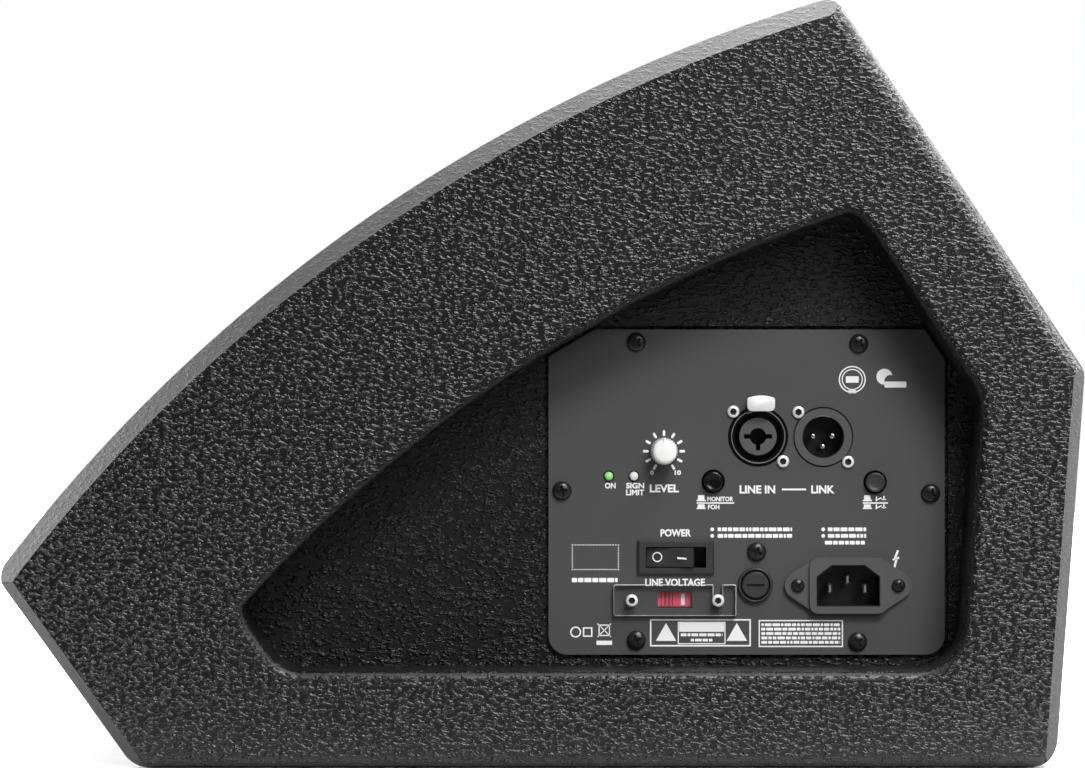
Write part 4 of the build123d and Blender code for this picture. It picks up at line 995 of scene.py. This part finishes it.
# only the top skin is kept; it is repeated across and around, then given the sheet's thickness
pick(grille, "FACE", lambda face: face.normal.z < 0.9)
bpy.ops.mesh.delete(type="FACE")
leave()
grille.data.transform(Matrix.Translation((0, pitch / 2 * mm - perforation["halfWidth"] * mm, -2 * mm)))
useModifier(grille, "ARRAY", count=columns, use_relative_offset=False, use_constant_offset=True,
            constant_offset_displace=(0, pitch * mm, 0), use_merge_vertices=True, merge_threshold=1e-5)
bpy.ops.object.empty_add(location=(0, 0, 0), rotation=(0, step, 0))
turner = bpy.context.active_object
useModifier(grille, "ARRAY", count=rows, use_relative_offset=False, use_object_offset=True,
            offset_object=turner, use_merge_vertices=True, merge_threshold=3e-5)
bpy.data.objects.remove(turner)
grille.matrix_world = (Matrix.Translation((arcCentre.x * mm, 0, arcCentre.y * mm))
                       @ Matrix.Rotation(startAngle + step / 2, 4, "Y"))
settle(grille)
useModifier(grille, "SOLIDIFY", thickness=perforation["sheet"] * mm, offset=-1)
smooth(grille, 30)
dress(grille, "cabinet", finish["grille"], ("grille",))
print("grille done", rows, columns, len(grille.data.polygons))

# CAD nodes that stay, with their finishes

nodeFinish = {
    "paint": ["baffle", "grille_battens"],
    "nylon": ["port_tubes", "hf_horn", "selector_housing"],
    "bezel": ["rocker_housing", "power_rocker", "fuse_cap"],
    "greyNylon": ["combo_insert", "level_pot", "push_switches"],
    "flange": ["xlr_shell", "inlet_body"],
    "gloss": ["fuse_holder", "combo_shell"],
    "blackSteel": ["cabinet_screws", "pole_cup", "driver_screws"],
    "nickel": ["level_shaft"],
    "contact": ["xlr_pins", "inlet_pins"],
    "zinc": ["top_plate", "back_plate", "hf_driver"],
    "casting": ["driver_basket"], "ferrite": ["ferrite_magnet"], "paper": ["driver_cone"],
    "cloth": ["driver_surround", "driver_spider"], "coil": ["voice_coil"],
    "foam": ["driver_gasket", "panel_gasket"],
    "wadding": ["damping_pad"], "aluminium": ["amp_chassis"], "board": ["circuit_boards"],
    "tape": ["power_transformer"], "sleeve": ["capacitors"], "wire": ["wiring"], "glass": ["fuse"],
    "panel": ["amp_panel"], "red": ["voltage_slider"],
}
for key, names in nodeFinish.items():
    for name in names:
        mesh = nodes[name].data
        mesh.materials.clear()
        mesh.materials.append(finish[key])

# studio

studio = {"distance": 1.78, "height": 0.150, "lens": 136.1, "floorSize": 6, "floorDrop": 0.2}
bpy.ops.object.camera_add(location=(0, -studio["distance"], studio["height"]), rotation=(math.pi / 2, 0, 0))
camera = bpy.context.active_object
camera.data.lens = studio["lens"]
camera.data.sensor_fit = "HORIZONTAL"
bpy.context.scene.camera = camera
bpy.context.scene.view_settings.view_transform = "Standard"

bpy.ops.mesh.primitive_plane_add(size=studio["floorSize"], location=(0, 0, -studio["floorDrop"] * mm))
floor = named("studioFloor")
# a pale matt floor to look at; in front of the cabinet it throws back little light, as if flagged off
floorFinish = speckled("paleStudioFloor", "#f0f0ef", "#eaeae9", 40 * mm, 0.8)
floorTree = floorFinish.node_tree
floorShader = next(n for n in floorTree.nodes if n.type == "BSDF_PRINCIPLED")
floorSeen = addNode(floorTree, "ShaderNodeLightPath").outputs["Is Camera Ray"]
floorPlace = addNode(floorTree, "ShaderNodeSeparateXYZ", inputs={
    "Vector": addNode(floorTree, "ShaderNodeTexCoord").outputs["Object"]})
besideCabinet = addNode(floorTree, "ShaderNodeMapRange", inputs={
    "Value": floorPlace.outputs["Y"], "From Min": -0.26, "From Max": -0.18})
unflagged = addNode(floorTree, "ShaderNodeMath", {"operation": "MAXIMUM"}, {
    0: floorSeen, 1: besideCabinet.outputs[0]})
floorTone = addNode(floorTree, "ShaderNodeMix", {"data_type": "RGBA"}, {
    "Factor": unflagged.outputs[0], 6: hexToLinear("#343434"),
    7: floorShader.inputs["Base Color"].links[0].from_socket})
floorTree.links.new(floorTone.outputs[2], floorShader.inputs["Base Color"])
floor.data.materials.append(floorFinish)

# place in metres, width and height, power in watts, and the point each light faces
softboxes = {
    "above": ((0.2, 0.02, 1.0), (1.3, 0.7), 54, (0.1, -0.1, 0.2)),
    "left": ((-1.5, 0.45, 0.6), (1.0, 1.0), 60, (0, 0, 0.2)),
    "right": ((1.5, 0.25, 0.5), (0.9, 0.9), 32, (0, -0.1, 0.15)),
    "frontTop": ((0.6, -1.9, 1.9), (1.0, 0.7), 52, (0.1, -0.15, 0.15)),
    "frontFill": ((0.9, -2.0, 1.0), (1.0, 0.7), 12, (0.1, -0.15, 0.15)),
    "backdrop": ((0, 2.3, 1.7), (4.6, 2.0), 200, (0, 2.0, 0)),
}
for name, (place, size, power, target) in softboxes.items():
    bpy.ops.object.light_add(type="AREA", location=place)
    light = bpy.context.active_object
    light.name = name
    light.data.shape = "RECTANGLE"
    light.data.size, light.data.size_y = size
    light.data.energy = power
    light.rotation_euler = (Vector(target) - Vector(place)).to_track_quat("-Z", "Y").to_euler()

world = bpy.data.worlds.new("studioWorld")
bpy.context.scene.world = world
world.use_nodes = True
tree = world.node_tree
tree.nodes.clear()
seen = addNode(tree, "ShaderNodeLightPath").outputs["Is Camera Ray"]
dim = addNode(tree, "ShaderNodeBackground", inputs={"Color": (0.9, 0.95, 1.0, 1), "Strength": 0.07})
white = addNode(tree, "ShaderNodeBackground", inputs={"Color": (1, 1, 1, 1), "Strength": 1.0})
mixed = addNode(tree, "ShaderNodeMixShader", inputs={0: seen, 1: dim.outputs[0], 2: white.outputs[0]})
addNode(tree, "ShaderNodeOutputWorld", inputs={"Surface": mixed.outputs[0]})
print("studio ready")
